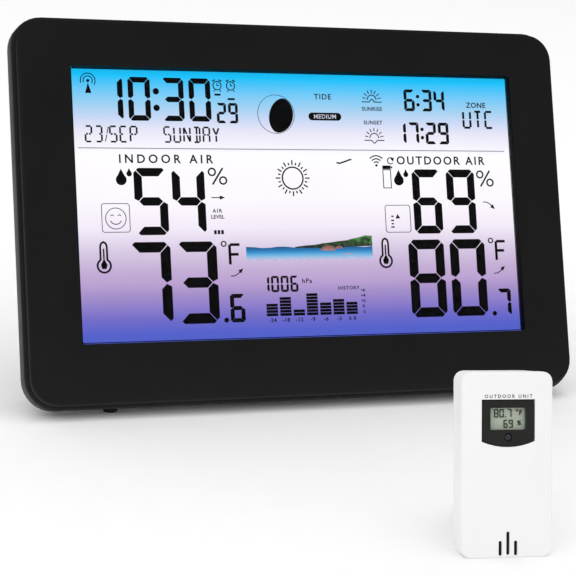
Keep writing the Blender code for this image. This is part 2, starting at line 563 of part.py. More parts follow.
def build_sensor_shells():
    """Front shell with window and vents; back shell with cell well, key hole and lugs."""
    middle = SENSOR_H / 2
    slab = sensor_slab(SENSOR_W, 0, SPLIT_Y, SENSOR_RIM, 0.5)
    front = solid("sensor_front", slab, "white_abs", sensor, (0, SPLIT_Y / 2, middle))
    height, z = span((BASE_Z, SENSOR_H - SENSOR_WALL))
    hollow_w = SENSOR_W - 2 * SENSOR_WALL
    cut(front, "front_hollow", panel(hollow_w, 12.0, height, 1.6, steps=3), (0, SENSOR_WALL + 6.0, z))
    opening = window_outline(GAP)
    cut(front, "sensor_window_hole", opening, (0, 0.5, 0))
    trim_sensor_base(front, "front_base")
    for index, (x, low, high) in enumerate(((-2.33, 0.7, 4.9), (0.0, 0.9, 7.5), (2.33, 0.7, 4.9))):
        slot_h, slot_z = span((low, high))
        cut(front, f"sensor_vent_{index}", panel(1.0, 5.0, slot_h, 0.4, steps=2), (x, 0.5, slot_z))

    depth, y = span((SPLIT_Y + GAP, SENSOR_T))
    slab = sensor_slab(SENSOR_BACK_W, SPLIT_Y + GAP, SENSOR_T, back_rim=SENSOR_RIM)
    back = solid("sensor_back", slab, "white_abs", sensor, (0, y, middle))
    inner = SENSOR_T - SENSOR_WALL - 0.4
    hollow_w = SENSOR_BACK_W - 2 * SENSOR_WALL
    cut(back, "back_hollow", panel(hollow_w, 8.0, height, 1.6, steps=3), (0, inner - 4.0, z))
    trim_sensor_base(back, "back_base")
    cut(back, "cap_hole", rod(CAP_R + GAP, 8.0, segments=40), (0, SENSOR_T, CAP_Z))
    cut(back, "sensor_key_hole", rod(2.0 + GAP, 8.0, segments=20), (0, SENSOR_T, SENSOR_KEY_Z))
    pin_y, pin_z = SENSOR_PIVOT
    for side in (-1, 1):
        depth, y = span((SENSOR_T - 0.8, pin_y + 1.7))
        join(back, f"lug_{side}", box(1.6, depth, 4.4), (LUG_X * side, y, pin_z))
        cut(back, f"lug_bore_{side}", rod(0.7 + GAP, 4.0, "X", 12), (LUG_X * side, pin_y, pin_z))


def window_outline(grow):
    """Window plate: straight top and sides and a bottom that bulges down in a shallow arc."""
    half, top, side_low, sag = 7.75 + grow, 44.5 + grow, 33.2 - grow, 1.6
    points = [(half, top), (-half, top)]
    for index in range(9):
        x = -half + 2 * half * index / 8
        points.append((x, side_low - sag * (1 - (x / half) ** 2)))
    bm = bmesh.new()
    face = bm.faces.new([bm.verts.new((x, -0.5 if grow == 0 else -2.0, z)) for x, z in points])
    swept = bmesh.ops.extrude_face_region(bm, geom=[face])["geom"]
    moved = [v for v in swept if isinstance(v, bmesh.types.BMVert)]
    bmesh.ops.translate(bm, vec=(0, 1.0 if grow == 0 else 4.0, 0), verts=moved)
    return bm


def build_sensor_insides():
    """Window plate, display, board, probe, light pipe, cell and its clip."""
    plate = solid("sensor_window", window_outline(0), "smoked_pmma", sensor, (0, 0.55, 0))
    cut(plate, "lcd_opening", panel(10.8, 6.0, 6.2, 0.3, steps=2), (0, 0.5, 39.3))
    cut(plate, "pipe_hole", rod(1.2, 6.0, segments=16), (0, 0.5, 34.1))
    solid("sensor_led", rod(0.9, 3.0, segments=16), "led_pipe", sensor, (0, 1.75, 34.1), smooth=True)
    solid("sensor_lcd", box(13.4, 1.6, 8.4), "grey_lcd", sensor, (0, 2.15, 39.6))
    solid("sensor_board", box(22.0, 1.0, 42.0), "circuit_board", sensor, (0, 4.1, 29.0))
    solid("sensor_element", box(3.2, 1.2, 3.2), "white_film", sensor, (0, 2.6, 10.2))
    cell = [(0.0, 1.6), (8.6, 1.6), (8.6, 1.2), (10.0, 1.2), (10.0, -1.3), (9.7, -1.6), (0.0, -1.6)]
    turned("sensor_cell", cell, "nickel", sensor, (0, 9.4, CAP_Z), (-90, 0, 0), 32)
    clip = solid("cell_clip", box(10.0, 0.4, 18.0), "nickel", sensor, (0, 5.2, CAP_Z))
    join(clip, "clip_rise", box(6.0, 2.2, 0.4), (0, 6.2, CAP_Z + 6.0))
    join(clip, "clip_tongue", box(6.0, 0.4, 9.0), (0, 7.2, CAP_Z + 1.7))
    pin_y, pin_z = SENSOR_PIVOT
    solid("sensor_pin", rod(0.7, 13.2, "X", 12), "steel", sensor, (0, pin_y, pin_z), smooth=True)


def build_sensor_movers():
    """Coin-slot cell cap, press key and fold-out leg."""
    disc = rod(CAP_R, 1.4, segments=40)
    cap = solid("sensor_cap", disc, "white_abs", sensor, (0, SENSOR_T - 0.7, CAP_Z))
    cut(cap, "coin_slot", box(11.0, 1.4, 1.8), (0, SENSOR_T, CAP_Z))
    key = solid("sensor_key", rod(2.0, 2.0, segments=20), "dark_abs", sensor, (0, SENSOR_T - 0.6, SENSOR_KEY_Z))
    join(key, "sensor_key_flange", rod(2.45, 0.5, segments=20), (0, SENSOR_T - 2.2, SENSOR_KEY_Z))
    join(key, "sensor_key_stem", rod(1.9, 1.2, segments=20), (0, SENSOR_T - 1.8, SENSOR_KEY_Z))
    hinge = bpy.data.objects.new("sensor_leg_hinge", None)
    parts.objects.link(hinge)
    hinge.parent = sensor
    hinge.location = Vector((0, *SENSOR_PIVOT)) * MM
    hinge.rotation_euler = (math.radians(SENSOR_LEAN + SENSOR_SWING), 0, 0)
    shape = box(SENSOR_LEG_W, SENSOR_LEG_T, SENSOR_LEG_L)
    leg = solid("sensor_leg", shape, "white_abs", hinge, (0, 0, -SENSOR_LEG_L / 2))
    join(leg, "sensor_barrel", rod(1.7, SENSOR_LEG_W, "X", 16), (0, 0, 0))
    cut(leg, "sensor_leg_bore", rod(0.7 + GAP, 26.0, "X", 12), (0, 0, 0))


def make_frame(name, at, turn):
    """An empty that holds one unit's pieces."""
    empty = bpy.data.objects.new(name, None)
    empty.location = Vector(at) * MM
    empty.rotation_euler = [math.radians(a) for a in turn]
    parts.objects.link(empty)
    return empty


for old in list(bpy.data.objects):
    bpy.data.objects.remove(old, do_unlink=True)
parts = bpy.data.collections.new("home_weather_station")
cutters = bpy.data.collections.new("cutters")
for group in (parts, cutters):
    bpy.context.scene.collection.children.link(group)
console = make_frame("console_frame", (0, CONSOLE_Y, FOOT_LOW), (-CONSOLE_LEAN, 0, 0))
sensor = make_frame("sensor_frame", (SENSOR_X, SENSOR_Y, 0), (-SENSOR_LEAN, 0, SENSOR_YAW))

build_front_frame()
build_display()
build_boards()
build_rear_housing()
build_keys()
build_battery_bay()
build_case_hardware()
build_leg()
build_sensor_shells()
build_sensor_insides()
build_sensor_movers()
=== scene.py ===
"""Looks of the home weather station: a leaning colour-display console and its small wireless sensor.

Sizes are in millimetres in each unit's own frame (x to the right, y from the front face to the back, z up
the face) and become metres in the shared frame when a mesh is finished. The display marks use u and v, in
millimetres right and up from the middle of the visible display.
"""

from __future__ import annotations

import json
import logging
import math
from dataclasses import dataclass, field
from enum import Enum
from typing import Iterable, Sequence

import bmesh
import bpy
from mathutils import Matrix, Vector


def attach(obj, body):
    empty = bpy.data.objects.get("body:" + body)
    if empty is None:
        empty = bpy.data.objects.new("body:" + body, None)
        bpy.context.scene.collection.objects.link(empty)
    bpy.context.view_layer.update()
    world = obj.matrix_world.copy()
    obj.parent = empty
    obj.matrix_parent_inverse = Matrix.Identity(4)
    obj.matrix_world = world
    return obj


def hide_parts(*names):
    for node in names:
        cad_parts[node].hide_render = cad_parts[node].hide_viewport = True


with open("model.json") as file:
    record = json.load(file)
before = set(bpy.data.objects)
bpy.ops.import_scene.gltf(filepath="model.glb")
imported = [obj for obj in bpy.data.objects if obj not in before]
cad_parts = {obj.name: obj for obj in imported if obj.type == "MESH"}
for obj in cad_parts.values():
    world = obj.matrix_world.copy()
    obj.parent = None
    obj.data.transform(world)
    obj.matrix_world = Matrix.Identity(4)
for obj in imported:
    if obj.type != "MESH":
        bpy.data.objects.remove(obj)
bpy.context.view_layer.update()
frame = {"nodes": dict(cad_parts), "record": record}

LOG = logging.getLogger("weather_station")
MM = 0.001
# A CAD copy is welded within WELD_MM and joined into flats within FLAT_DEG. Its shading breaks at edges
# past CREASE_DEG, and edges past SOFTEN_DEG get a soft edge.
WELD_MM = 0.002
FLAT_DEG = 0.4
CREASE_DEG = 32
SOFTEN_DEG = 50
# Points on a mark's sheet closer than this, in millimetres, become one.
MARK_WELD = 0.0005
# Lettering: a capital's height as a share of the font's size, and how far the strokes are thickened, as a
# share of that height.
CAPITAL_SHARE = 0.69
BOLDER = 0.022

Point = tuple[float, float]
Outline = Sequence[Point]


# --- Where the two units stand -------------------------------------------------------------------


@dataclass(frozen=True)
class Stance:
    """How one unit stands in the shared frame."""

    place: tuple[float, float, float]
    lean: float
    turn: float = 0.0

    @property
    def matrix(self) -> Matrix:
        """From the unit's own millimetres to metres in the shared frame.

        Returns:
            The transform.
        """
        turned = Matrix.Rotation(math.radians(self.turn), 4, "Z")
        leaned = Matrix.Rotation(-math.radians(self.lean), 4, "X")
        return Matrix.Translation(Vector(self.place) * MM) @ turned @ leaned @ Matrix.Scale(MM, 4)

    @property
    def up(self) -> Vector:
        """The direction up the unit's face, in the shared frame."""
        return (self.matrix.to_3x3() @ Vector((0, 0, 1))).normalized()


CONSOLE = Stance(place=(0.0, 34.97, 4.1), lean=20.0)
SENSOR = Stance(place=(4.57, -100.71, 0.0), lean=15.0, turn=-6.4)


class Body(Enum):
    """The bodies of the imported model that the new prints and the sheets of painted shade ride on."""

    CONSOLE = "console"
    SENSOR = "sensor"


# --- Nodes and materials -------------------------------------------------------------------------


def linear(hex_colour: str) -> tuple[float, float, float, float]:
    """Turn an sRGB hex colour into linear light.

    Args:
        hex_colour: The colour, such as "#1F1F1F".

    Returns:
        Red, green, blue and alpha.
    """
    channels = [int(hex_colour[i : i + 2], 16) / 255 for i in (1, 3, 5)]
    red, green, blue = (c / 12.92 if c <= 0.04045 else ((c + 0.055) / 1.055) ** 2.4 for c in channels)
    return red, green, blue, 1.0


def add_node(tree: bpy.types.NodeTree, kind: str, links: dict | None = None, **settings) -> bpy.types.Node:
    """Add a node with its settings and links.

    Args:
        tree: The node tree.
        kind: The node's type name.
        links: Output sockets by the name or number of the input that they feed.
        settings: Properties of the node, or values of its inputs by name with _ for a space.

    Returns:
        The new node.
    """
    node = tree.nodes.new(kind)
    for name, value in settings.items():
        if hasattr(node, name):
            setattr(node, name, value)
        else:
            node.inputs[name.replace("_", " ")].default_value = value
    for name, socket in (links or {}).items():
        tree.links.new(socket, node.inputs[name])
    return node


@dataclass(frozen=True)
class Finish:
    """A surface finish; each kind adds what its real surface shows."""

    name: str
    colour: str
    roughness: float = 0.5
    slot: str = ""

    def material(self) -> bpy.types.Material:
        """Get this finish's material, or make it.

        Returns:
            The material.
        """
        made = bpy.data.materials.get(self.name)
        if made is None:
            made = bpy.data.materials.new(self.name)
            made.use_nodes = True
            shader = made.node_tree.nodes["Principled BSDF"]
            shader.inputs["Base Color"].default_value = linear(self.colour)
            shader.inputs["Roughness"].default_value = self.roughness
            self.dress(made.node_tree, shader)
        return made

    def dress(self, tree: bpy.types.NodeTree, shader: bpy.types.Node) -> None:
        """Add the surface's detail to its node tree.

        Args:
            tree: The material's node tree.
            shader: Its main shader.
        """
        raise NotImplementedError


def mottle(
    tree: bpy.types.NodeTree, scale_mm: float, low: float, high: float, detail: float = 3.0
) -> bpy.types.NodeSocket:
    """Noise of a real size as a value between two limits.

    Args:
        tree: The node tree.
        scale_mm: The size of one patch.
        low: The value at the noise's low end.
        high: The value at its high end.
        detail: Octaves of noise.

    Returns:
        The mapped value's output socket.
    """
    place = add_node(tree, "ShaderNodeTexCoord").outputs["Object"]
    settings = {"Scale": 1 / (scale_mm * MM), "Detail": detail}
    noise = add_node(tree, "ShaderNodeTexNoise", {"Vector": place}, **settings)
    spread = {"From_Min": 0.3, "From_Max": 0.7, "To_Min": low, "To_Max": high}
    return add_node(tree, "ShaderNodeMapRange", {"Value": noise.outputs["Fac"]}, **spread).outputs["Result"]


@dataclass(frozen=True)
class MouldedPlastic(Finish):
    """Injection-moulded ABS: the mould's spark-eroded grain breaks the gloss into a soft satin."""

    grain_mm: float = 0.45
    grain_depth: float = 0.012
    sheen_spread: float = 0.05
    tint: float = 0.06
    shine: float = 0.5

    def dress(self, tree: bpy.types.NodeTree, shader: bpy.types.Node) -> None:
        """Grain as bump, uneven gloss, and a faint cloudiness in the colour.

        Args:
            tree: The material's node tree.
            shader: Its main shader.
        """
        # The real grain is about 0.05 mm; it is drawn at nine times that or more so that it shows.
        grain = mottle(tree, self.grain_mm, 0.0, 1.0, detail=2.0)
        bump = add_node(tree, "ShaderNodeBump", {"Height": grain}, Strength=0.6)
        bump.inputs["Distance"].default_value = self.grain_depth * MM
        gloss = mottle(tree, 14.0, self.roughness - self.sheen_spread, self.roughness + self.sheen_spread)
        cloud = mottle(tree, 22.0, 1.0 - self.tint, 1.0 + self.tint)
        colour = add_node(tree, "ShaderNodeVectorMath", {1: cloud}, operation="MULTIPLY")
        colour.inputs[0].default_value = linear(self.colour)[:3]
        tree.links.new(colour.outputs["Vector"], shader.inputs["Base Color"])
        tree.links.new(gloss, shader.inputs["Roughness"])
        tree.links.new(bump.outputs["Normal"], shader.inputs["Normal"])
        shader.inputs["Specular IOR Level"].default_value = self.shine


@dataclass(frozen=True)
class SheetPlastic(Finish):
    """Rolled or cast plastic film: even colour with long, faint waves in its gloss."""

    def dress(self, tree: bpy.types.NodeTree, shader: bpy.types.Node) -> None:
        """Slow waves in the roughness.

        Args:
            tree: The material's node tree.
            shader: Its main shader.
        """
        gloss = mottle(tree, 9.0, self.roughness * 0.85, self.roughness * 1.15)
        tree.links.new(gloss, shader.inputs["Roughness"])


@dataclass(frozen=True)
class DrawnMetal(Finish):
    """Plated or drawn metal: full metallic, with a finely uneven polish."""

    patch_mm: float = 0.4
    dent_depth: float = 0.01

    def dress(self, tree: bpy.types.NodeTree, shader: bpy.types.Node) -> None:
        """Uneven roughness and a shallow bump.

        Args:
            tree: The material's node tree.
            shader: Its main shader.
        """
        shader.inputs["Metallic"].default_value = 1.0
        polish = mottle(tree, self.patch_mm, self.roughness * 0.8, self.roughness * 1.25)
        bump = add_node(tree, "ShaderNodeBump", {"Height": polish}, Strength=0.3)
        bump.inputs["Distance"].default_value = self.dent_depth * MM
        tree.links.new(polish, shader.inputs["Roughness"])
        tree.links.new(bump.outputs["Normal"], shader.inputs["Normal"])


@dataclass(frozen=True)
class SolderMask(Finish):
    """Green solder mask over copper tracks: a blocky pattern of slightly lighter lines."""

    track_mm: float = 1.6

    def dress(self, tree: bpy.types.NodeTree, shader: bpy.types.Node) -> None:
        """Copper tracks glowing through the mask.

        Args:
            tree: The material's node tree.
            shader: Its main shader.
        """
        place = add_node(tree, "ShaderNodeTexCoord").outputs["Object"]
        settings = {"distance": "CHEBYCHEV", "Scale": 1 / (self.track_mm * MM)}
        tracks = add_node(tree, "ShaderNodeTexVoronoi", {"Vector": place}, **settings)
        mix = add_node(tree, "ShaderNodeMix", {"Factor": tracks.outputs["Distance"]}, data_type="RGBA")
        mix.inputs["A"].default_value = linear(self.colour)
        mix.inputs["B"].default_value = linear("#3C8A55")
        tree.links.new(mix.outputs["Result"], shader.inputs["Base Color"])


@dataclass(frozen=True)
class Ink(Finish):
    """Printed or switched-on marks: one flat colour, with a trace of unevenness in the print."""

    shine: float = 0.2

    def dress(self, tree: bpy.types.NodeTree, shader: bpy.types.Node) -> None:
        """A faint density change.

        Args:
            tree: The material's node tree.
            shader: Its main shader.
        """
        density = mottle(tree, 3.0, 0.9, 1.1)
        colour = add_node(tree, "ShaderNodeVectorMath", {1: density}, operation="MULTIPLY")
        colour.inputs[0].default_value = linear(self.colour)[:3]
        tree.links.new(colour.outputs["Vector"], shader.inputs["Base Color"])
        shader.inputs["Specular IOR Level"].default_value = self.shine


@dataclass(frozen=True)
class ClearAcrylic(Finish):
    """Cast acrylic lens with an anti-glare coat: clear, with a faint glint of its polished face."""

    # Acrylic's own is about 1.49; the coat takes most of its glint away.
    coated_ior: float = 1.2

    def dress(self, tree: bpy.types.NodeTree, shader: bpy.types.Node) -> None:
        """See through it, with a Fresnel glint.

        Args:
            tree: The material's node tree.
            shader: Its main shader.
        """
        clear = add_node(tree, "ShaderNodeBsdfTransparent", Color=linear(self.colour))
        glint = add_node(tree, "ShaderNodeBsdfGlossy", Roughness=self.roughness)
        edge = add_node(tree, "ShaderNodeFresnel", IOR=self.coated_ior)
        links = {0: edge.outputs[0], 1: clear.outputs[0], 2: glint.outputs[0]}
        both = add_node(tree, "ShaderNodeMixShader", links)
        tree.nodes.remove(shader)
        tree.links.new(both.outputs[0], tree.nodes["Material Output"].inputs["Surface"])


@dataclass(frozen=True)
class GlowStop:
    """One colour of a vertical fade: how far up it is, from 0 to 1."""

    up: float
    colour: str


@dataclass(frozen=True)
class BacklitPrint(Finish):
    """Colours that glow on the display: they fade from stop to stop up the face, a little unevenly."""

    foot: tuple[float, float, float] = (0.0, 0.0, 0.0)
    height: float = 1.0
    up: tuple[float, float, float] = (0.0, 0.0, 1.0)
    stops: tuple[GlowStop, ...] = ()
    # How large the uneven patches are.
    patch_mm: float = 26.0
    dimmest: float = 0.985
    wander: float = 0.0
    brightness: float = 1.06
    shine: float = 0.1

    def dress(self, tree: bpy.types.NodeTree, shader: bpy.types.Node) -> None:
        """Glow with the print's colours, uneven as a side-lit guide or a printed picture is.

        Args:
            tree: The material's node tree.
            shader: Its main shader.
        """
        place = add_node(tree, "ShaderNodeTexCoord").outputs["Object"]
        from_foot = add_node(tree, "ShaderNodeVectorMath", {0: place}, operation="SUBTRACT")
        from_foot.inputs[1].default_value = self.foot
        climb = add_node(tree, "ShaderNodeVectorMath", {0: from_foot.outputs[0]}, operation="DOT_PRODUCT")
        climb.inputs[1].default_value = [a / self.height for a in self.up]
        stray = mottle(tree, self.patch_mm, -self.wander, self.wander)
        share = add_node(tree, "ShaderNodeMath", {0: climb.outputs["Value"], 1: stray}, operation="ADD")
        ramp = add_node(tree, "ShaderNodeValToRGB", {"Fac": share.outputs[0]})
        elements = ramp.color_ramp.elements
        for _ in self.stops[2:]:
            elements.new(0.5)
        for element, stop in zip(elements, self.stops):
            element.position = stop.up
            element.color = linear(stop.colour)
        uneven = mottle(tree, self.patch_mm, self.dimmest, 1.0, detail=1.0)
        links = {0: ramp.outputs["Color"], 1: uneven}
        glow = add_node(tree, "ShaderNodeVectorMath", links, operation="MULTIPLY")
        tree.links.new(glow.outputs["Vector"], shader.inputs["Emission Color"])
        shader.inputs["Emission Strength"].default_value = self.brightness
        shader.inputs["Specular IOR Level"].default_value = self.shine


@dataclass(frozen=True)
class ReflectiveDisplay(Finish):
    """Grey-green reflective display: soft, slightly grainy polariser without a light of its own."""

    def dress(self, tree: bpy.types.NodeTree, shader: bpy.types.Node) -> None:
        """Faint grain of the polariser.

        Args:
            tree: The material's node tree.
            shader: Its main shader.
        """
        grain = mottle(tree, 0.5, 0.93, 1.07)
        colour = add_node(tree, "ShaderNodeVectorMath", {1: grain}, operation="MULTIPLY")
        colour.inputs[0].default_value = linear(self.colour)[:3]
        tree.links.new(colour.outputs["Vector"], shader.inputs["Base Color"])


class Stock(Enum):
    """The finishes that the station is made of."""

    # ABS moulded against a fine spark-eroded texture: near black, with a dull sheen.
    FACE_ABS = MouldedPlastic(
        "black_abs_satin", "#151515", 0.5, "face_abs", grain_depth=0.006, shine=0.25
    )
    # The same ABS with a coarser texture, which scatters a little more light.
    CASE_ABS = MouldedPlastic(
        "black_abs_textured", "#191919", 0.55, "case_abs", grain_mm=0.6, grain_depth=0.02
    )
    # White ABS: satin and even, with hardly any grain.
    WHITE_ABS = MouldedPlastic(
        "white_abs_satin", "#EEEEEE", 0.45, "white_abs", grain_depth=0.004, tint=0.01
    )
    # Grey ABS: the satin of a small moulded key.
    GREY_ABS = MouldedPlastic("grey_abs_satin", "#8A8C8E", 0.5, "grey_abs")
    # Cast acrylic, polished: seen through at the front, with a faint glint.
    LENS = ClearAcrylic("acrylic_polished_clear", "#FEFEFF", 0.06, "clear_pmma")
    # Acrylic light guide: pale and smooth.
    GUIDE = SheetPlastic("acrylic_light_guide", "#E9EEF2", 0.2, "clear_pmma")
    # Acrylic printed black on its back: deep, even and glossy.
    SMOKED = SheetPlastic("acrylic_back_printed", "#262625", 0.22, "smoked_pmma")
    # White film, white mouldings and white sensing elements: bright and matt.
    WHITE_FILM = SheetPlastic("film_white_reflector", "#F5F5F5", 0.6, "white_film")
    # Printed polyester film: even lilac.
    COLOUR_FILM = SheetPlastic("film_colour_print", "#C4A8D6", 0.5, "colour_film")
    # Polyimide circuit film: amber and a little glossy.
    POLYIMIDE = SheetPlastic("film_polyimide", "#B9762A", 0.35, "polyimide")
    # Reflective display behind its polariser: grey-green and soft.
    REFLECTIVE = ReflectiveDisplay("display_reflective", "#A7B0A0", 0.3, "grey_lcd")
    # Segments that are switched on: blue-black and flat.
    INK = Ink("display_segment_ink", "#040406", 0.7, "lcd_glass")
    # Small print on the display's mask: thin, so it looks greyer than the segments.
    FINE_INK = Ink("display_fine_ink", "#30323E", 0.6, "lcd_glass")
    # The hairline between two fields of the display: thinner still.
    LINE_INK = Ink("display_ruling_ink", "#83889A", 0.6, "lcd_glass")
    # Lettering left open in a dark field, where the light comes through.
    PALE_INK = Ink("display_knocked_out_mark", "#E8E6F0", 0.5, "lcd_glass")
    # The segments and the printed words of the sensor: green-black.
    SMALL_INK = Ink("sensor_display_ink", "#2B3029", 0.5, "grey_lcd")
    # Pad print on the keys: mid grey, so it can be read on black.
    PAD_PRINT = Ink("pad_print_grey", "#9A9C9E", 0.5, "case_abs")
    # Glass-epoxy board: green solder mask with its tracks showing through.
    BOARD = SolderMask("board_green_mask", "#1F5A34", 0.4, "circuit_board")
    # Moulded epoxy and black thermoplastic parts: fine and half matt.
    EPOXY = SheetPlastic("epoxy_moulded_black", "#161616", 0.35, "black_epoxy")
    # Sintered ferrite: dark grey and dull.
    FERRITE = MouldedPlastic("ferrite_sintered", "#3A3A3C", 0.7, "ferrite")
    # Enamelled copper wire: warm, with an uneven shine.
    COPPER = DrawnMetal("copper_enamelled", "#B56A3A", 0.3, "copper")
    # Nickel-plated spring steel: bright, with an uneven shine.
    NICKEL = DrawnMetal("nickel_plated_spring", "#C8C8C4", 0.28, "nickel")
    # Zinc-plated steel: blue-grey, duller than nickel.
    STEEL = DrawnMetal("steel_zinc_plated", "#8E9094", 0.35, "steel")
    # Moulded rubber: matt, with a coarse dry grain.
    RUBBER = MouldedPlastic(
        "rubber_moulded_matte", "#1A1A1A", 0.85, "rubber", grain_mm=0.8, grain_depth=0.03
    )
    # Painted shade: a darker copy of the rubber that stands in for the shade deep in a gap, where hardly any
    # light comes back.
    PAINTED_SHADE = MouldedPlastic("painted_shade_black", "#060606", 0.9, "rubber", grain_mm=0.8, grain_depth=0.03)
    # Shrink sleeve on a cell: even blue with a soft gloss.
    SLEEVE = SheetPlastic("shrink_sleeve_blue", "#3E6FA8", 0.3, "cell_sleeve")
    # Clear plastic pipe over a lamp that is off: it looks as dark as what is behind it.
    LIGHT_PIPE = SheetPlastic("light_pipe_clear", "#343338", 0.25, "light_pipe")


# --- Mesh helpers ----------------------------------------------------------------------------------


def hand_in(
    piece: bpy.types.Object, finish: Finish, body: str, nodes: Iterable[str] = ()
) -> bpy.types.Object:
    """Dress a finished piece and tie it to its body.

    Args:
        piece: The piece, with its place in its mesh.
        finish: Its finish.
        body: The name of the body that it rides on.
        nodes: CAD nodes that it stands for.

    Returns:
        The same piece.
    """
    piece.data.materials.clear()
    piece.data.materials.append(finish.material())
    if piece.name not in bpy.context.scene.collection.objects:
        bpy.context.scene.collection.objects.link(piece)
    if nodes:
        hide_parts(*nodes)
    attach(piece, body)
    LOG.info("%s rides on %s in %s", piece.name, body, finish.name)
    return piece


def body_of_node(node: str) -> str:
    """The body that a CAD node belongs to."""
    bodies = frame["record"]["behaviour"]["bodies"]
    return next(body for body, nodes in bodies.items() if node in nodes)


def refine(node: str, finish: Finish, edge_mm: float = 0.0) -> bpy.types.Object:
    """Make a moulded copy of a CAD node: welded, smooth round its curves, with softened edges.

    Args:
        node: The CAD node.
        finish: The copy's finish.
        edge_mm: How wide a soft edge is; 0 leaves the edges sharp.

    Returns:
        The copy, which stands for the node.
    """
    bm = bmesh.new()
    bm.from_mesh(frame["nodes"][node].data)
    bmesh.ops.remove_doubles(bm, verts=bm.verts, dist=WELD_MM * MM)
    bmesh.ops.dissolve_limit(bm, angle_limit=math.radians(FLAT_DEG), verts=bm.verts, edges=bm.edges)
    mesh = bpy.data.meshes.new(f"{node}_moulding")
    bm.to_mesh(mesh)
    bm.free()
    piece = bpy.data.objects.new(mesh.name, mesh)
    mesh.shade_smooth()
    mesh.set_sharp_from_angle(angle=math.radians(CREASE_DEG))
    if edge_mm:
        soft = piece.modifiers.new("soft_edge", "BEVEL")
        soft.width = edge_mm * MM
        soft.segments = 2
        soft.limit_method = "ANGLE"
        soft.angle_limit = math.radians(SOFTEN_DEG)
        soft.use_clamp_overlap = True
        soft.harden_normals = True
    return hand_in(piece, finish, body_of_node(node), [node])


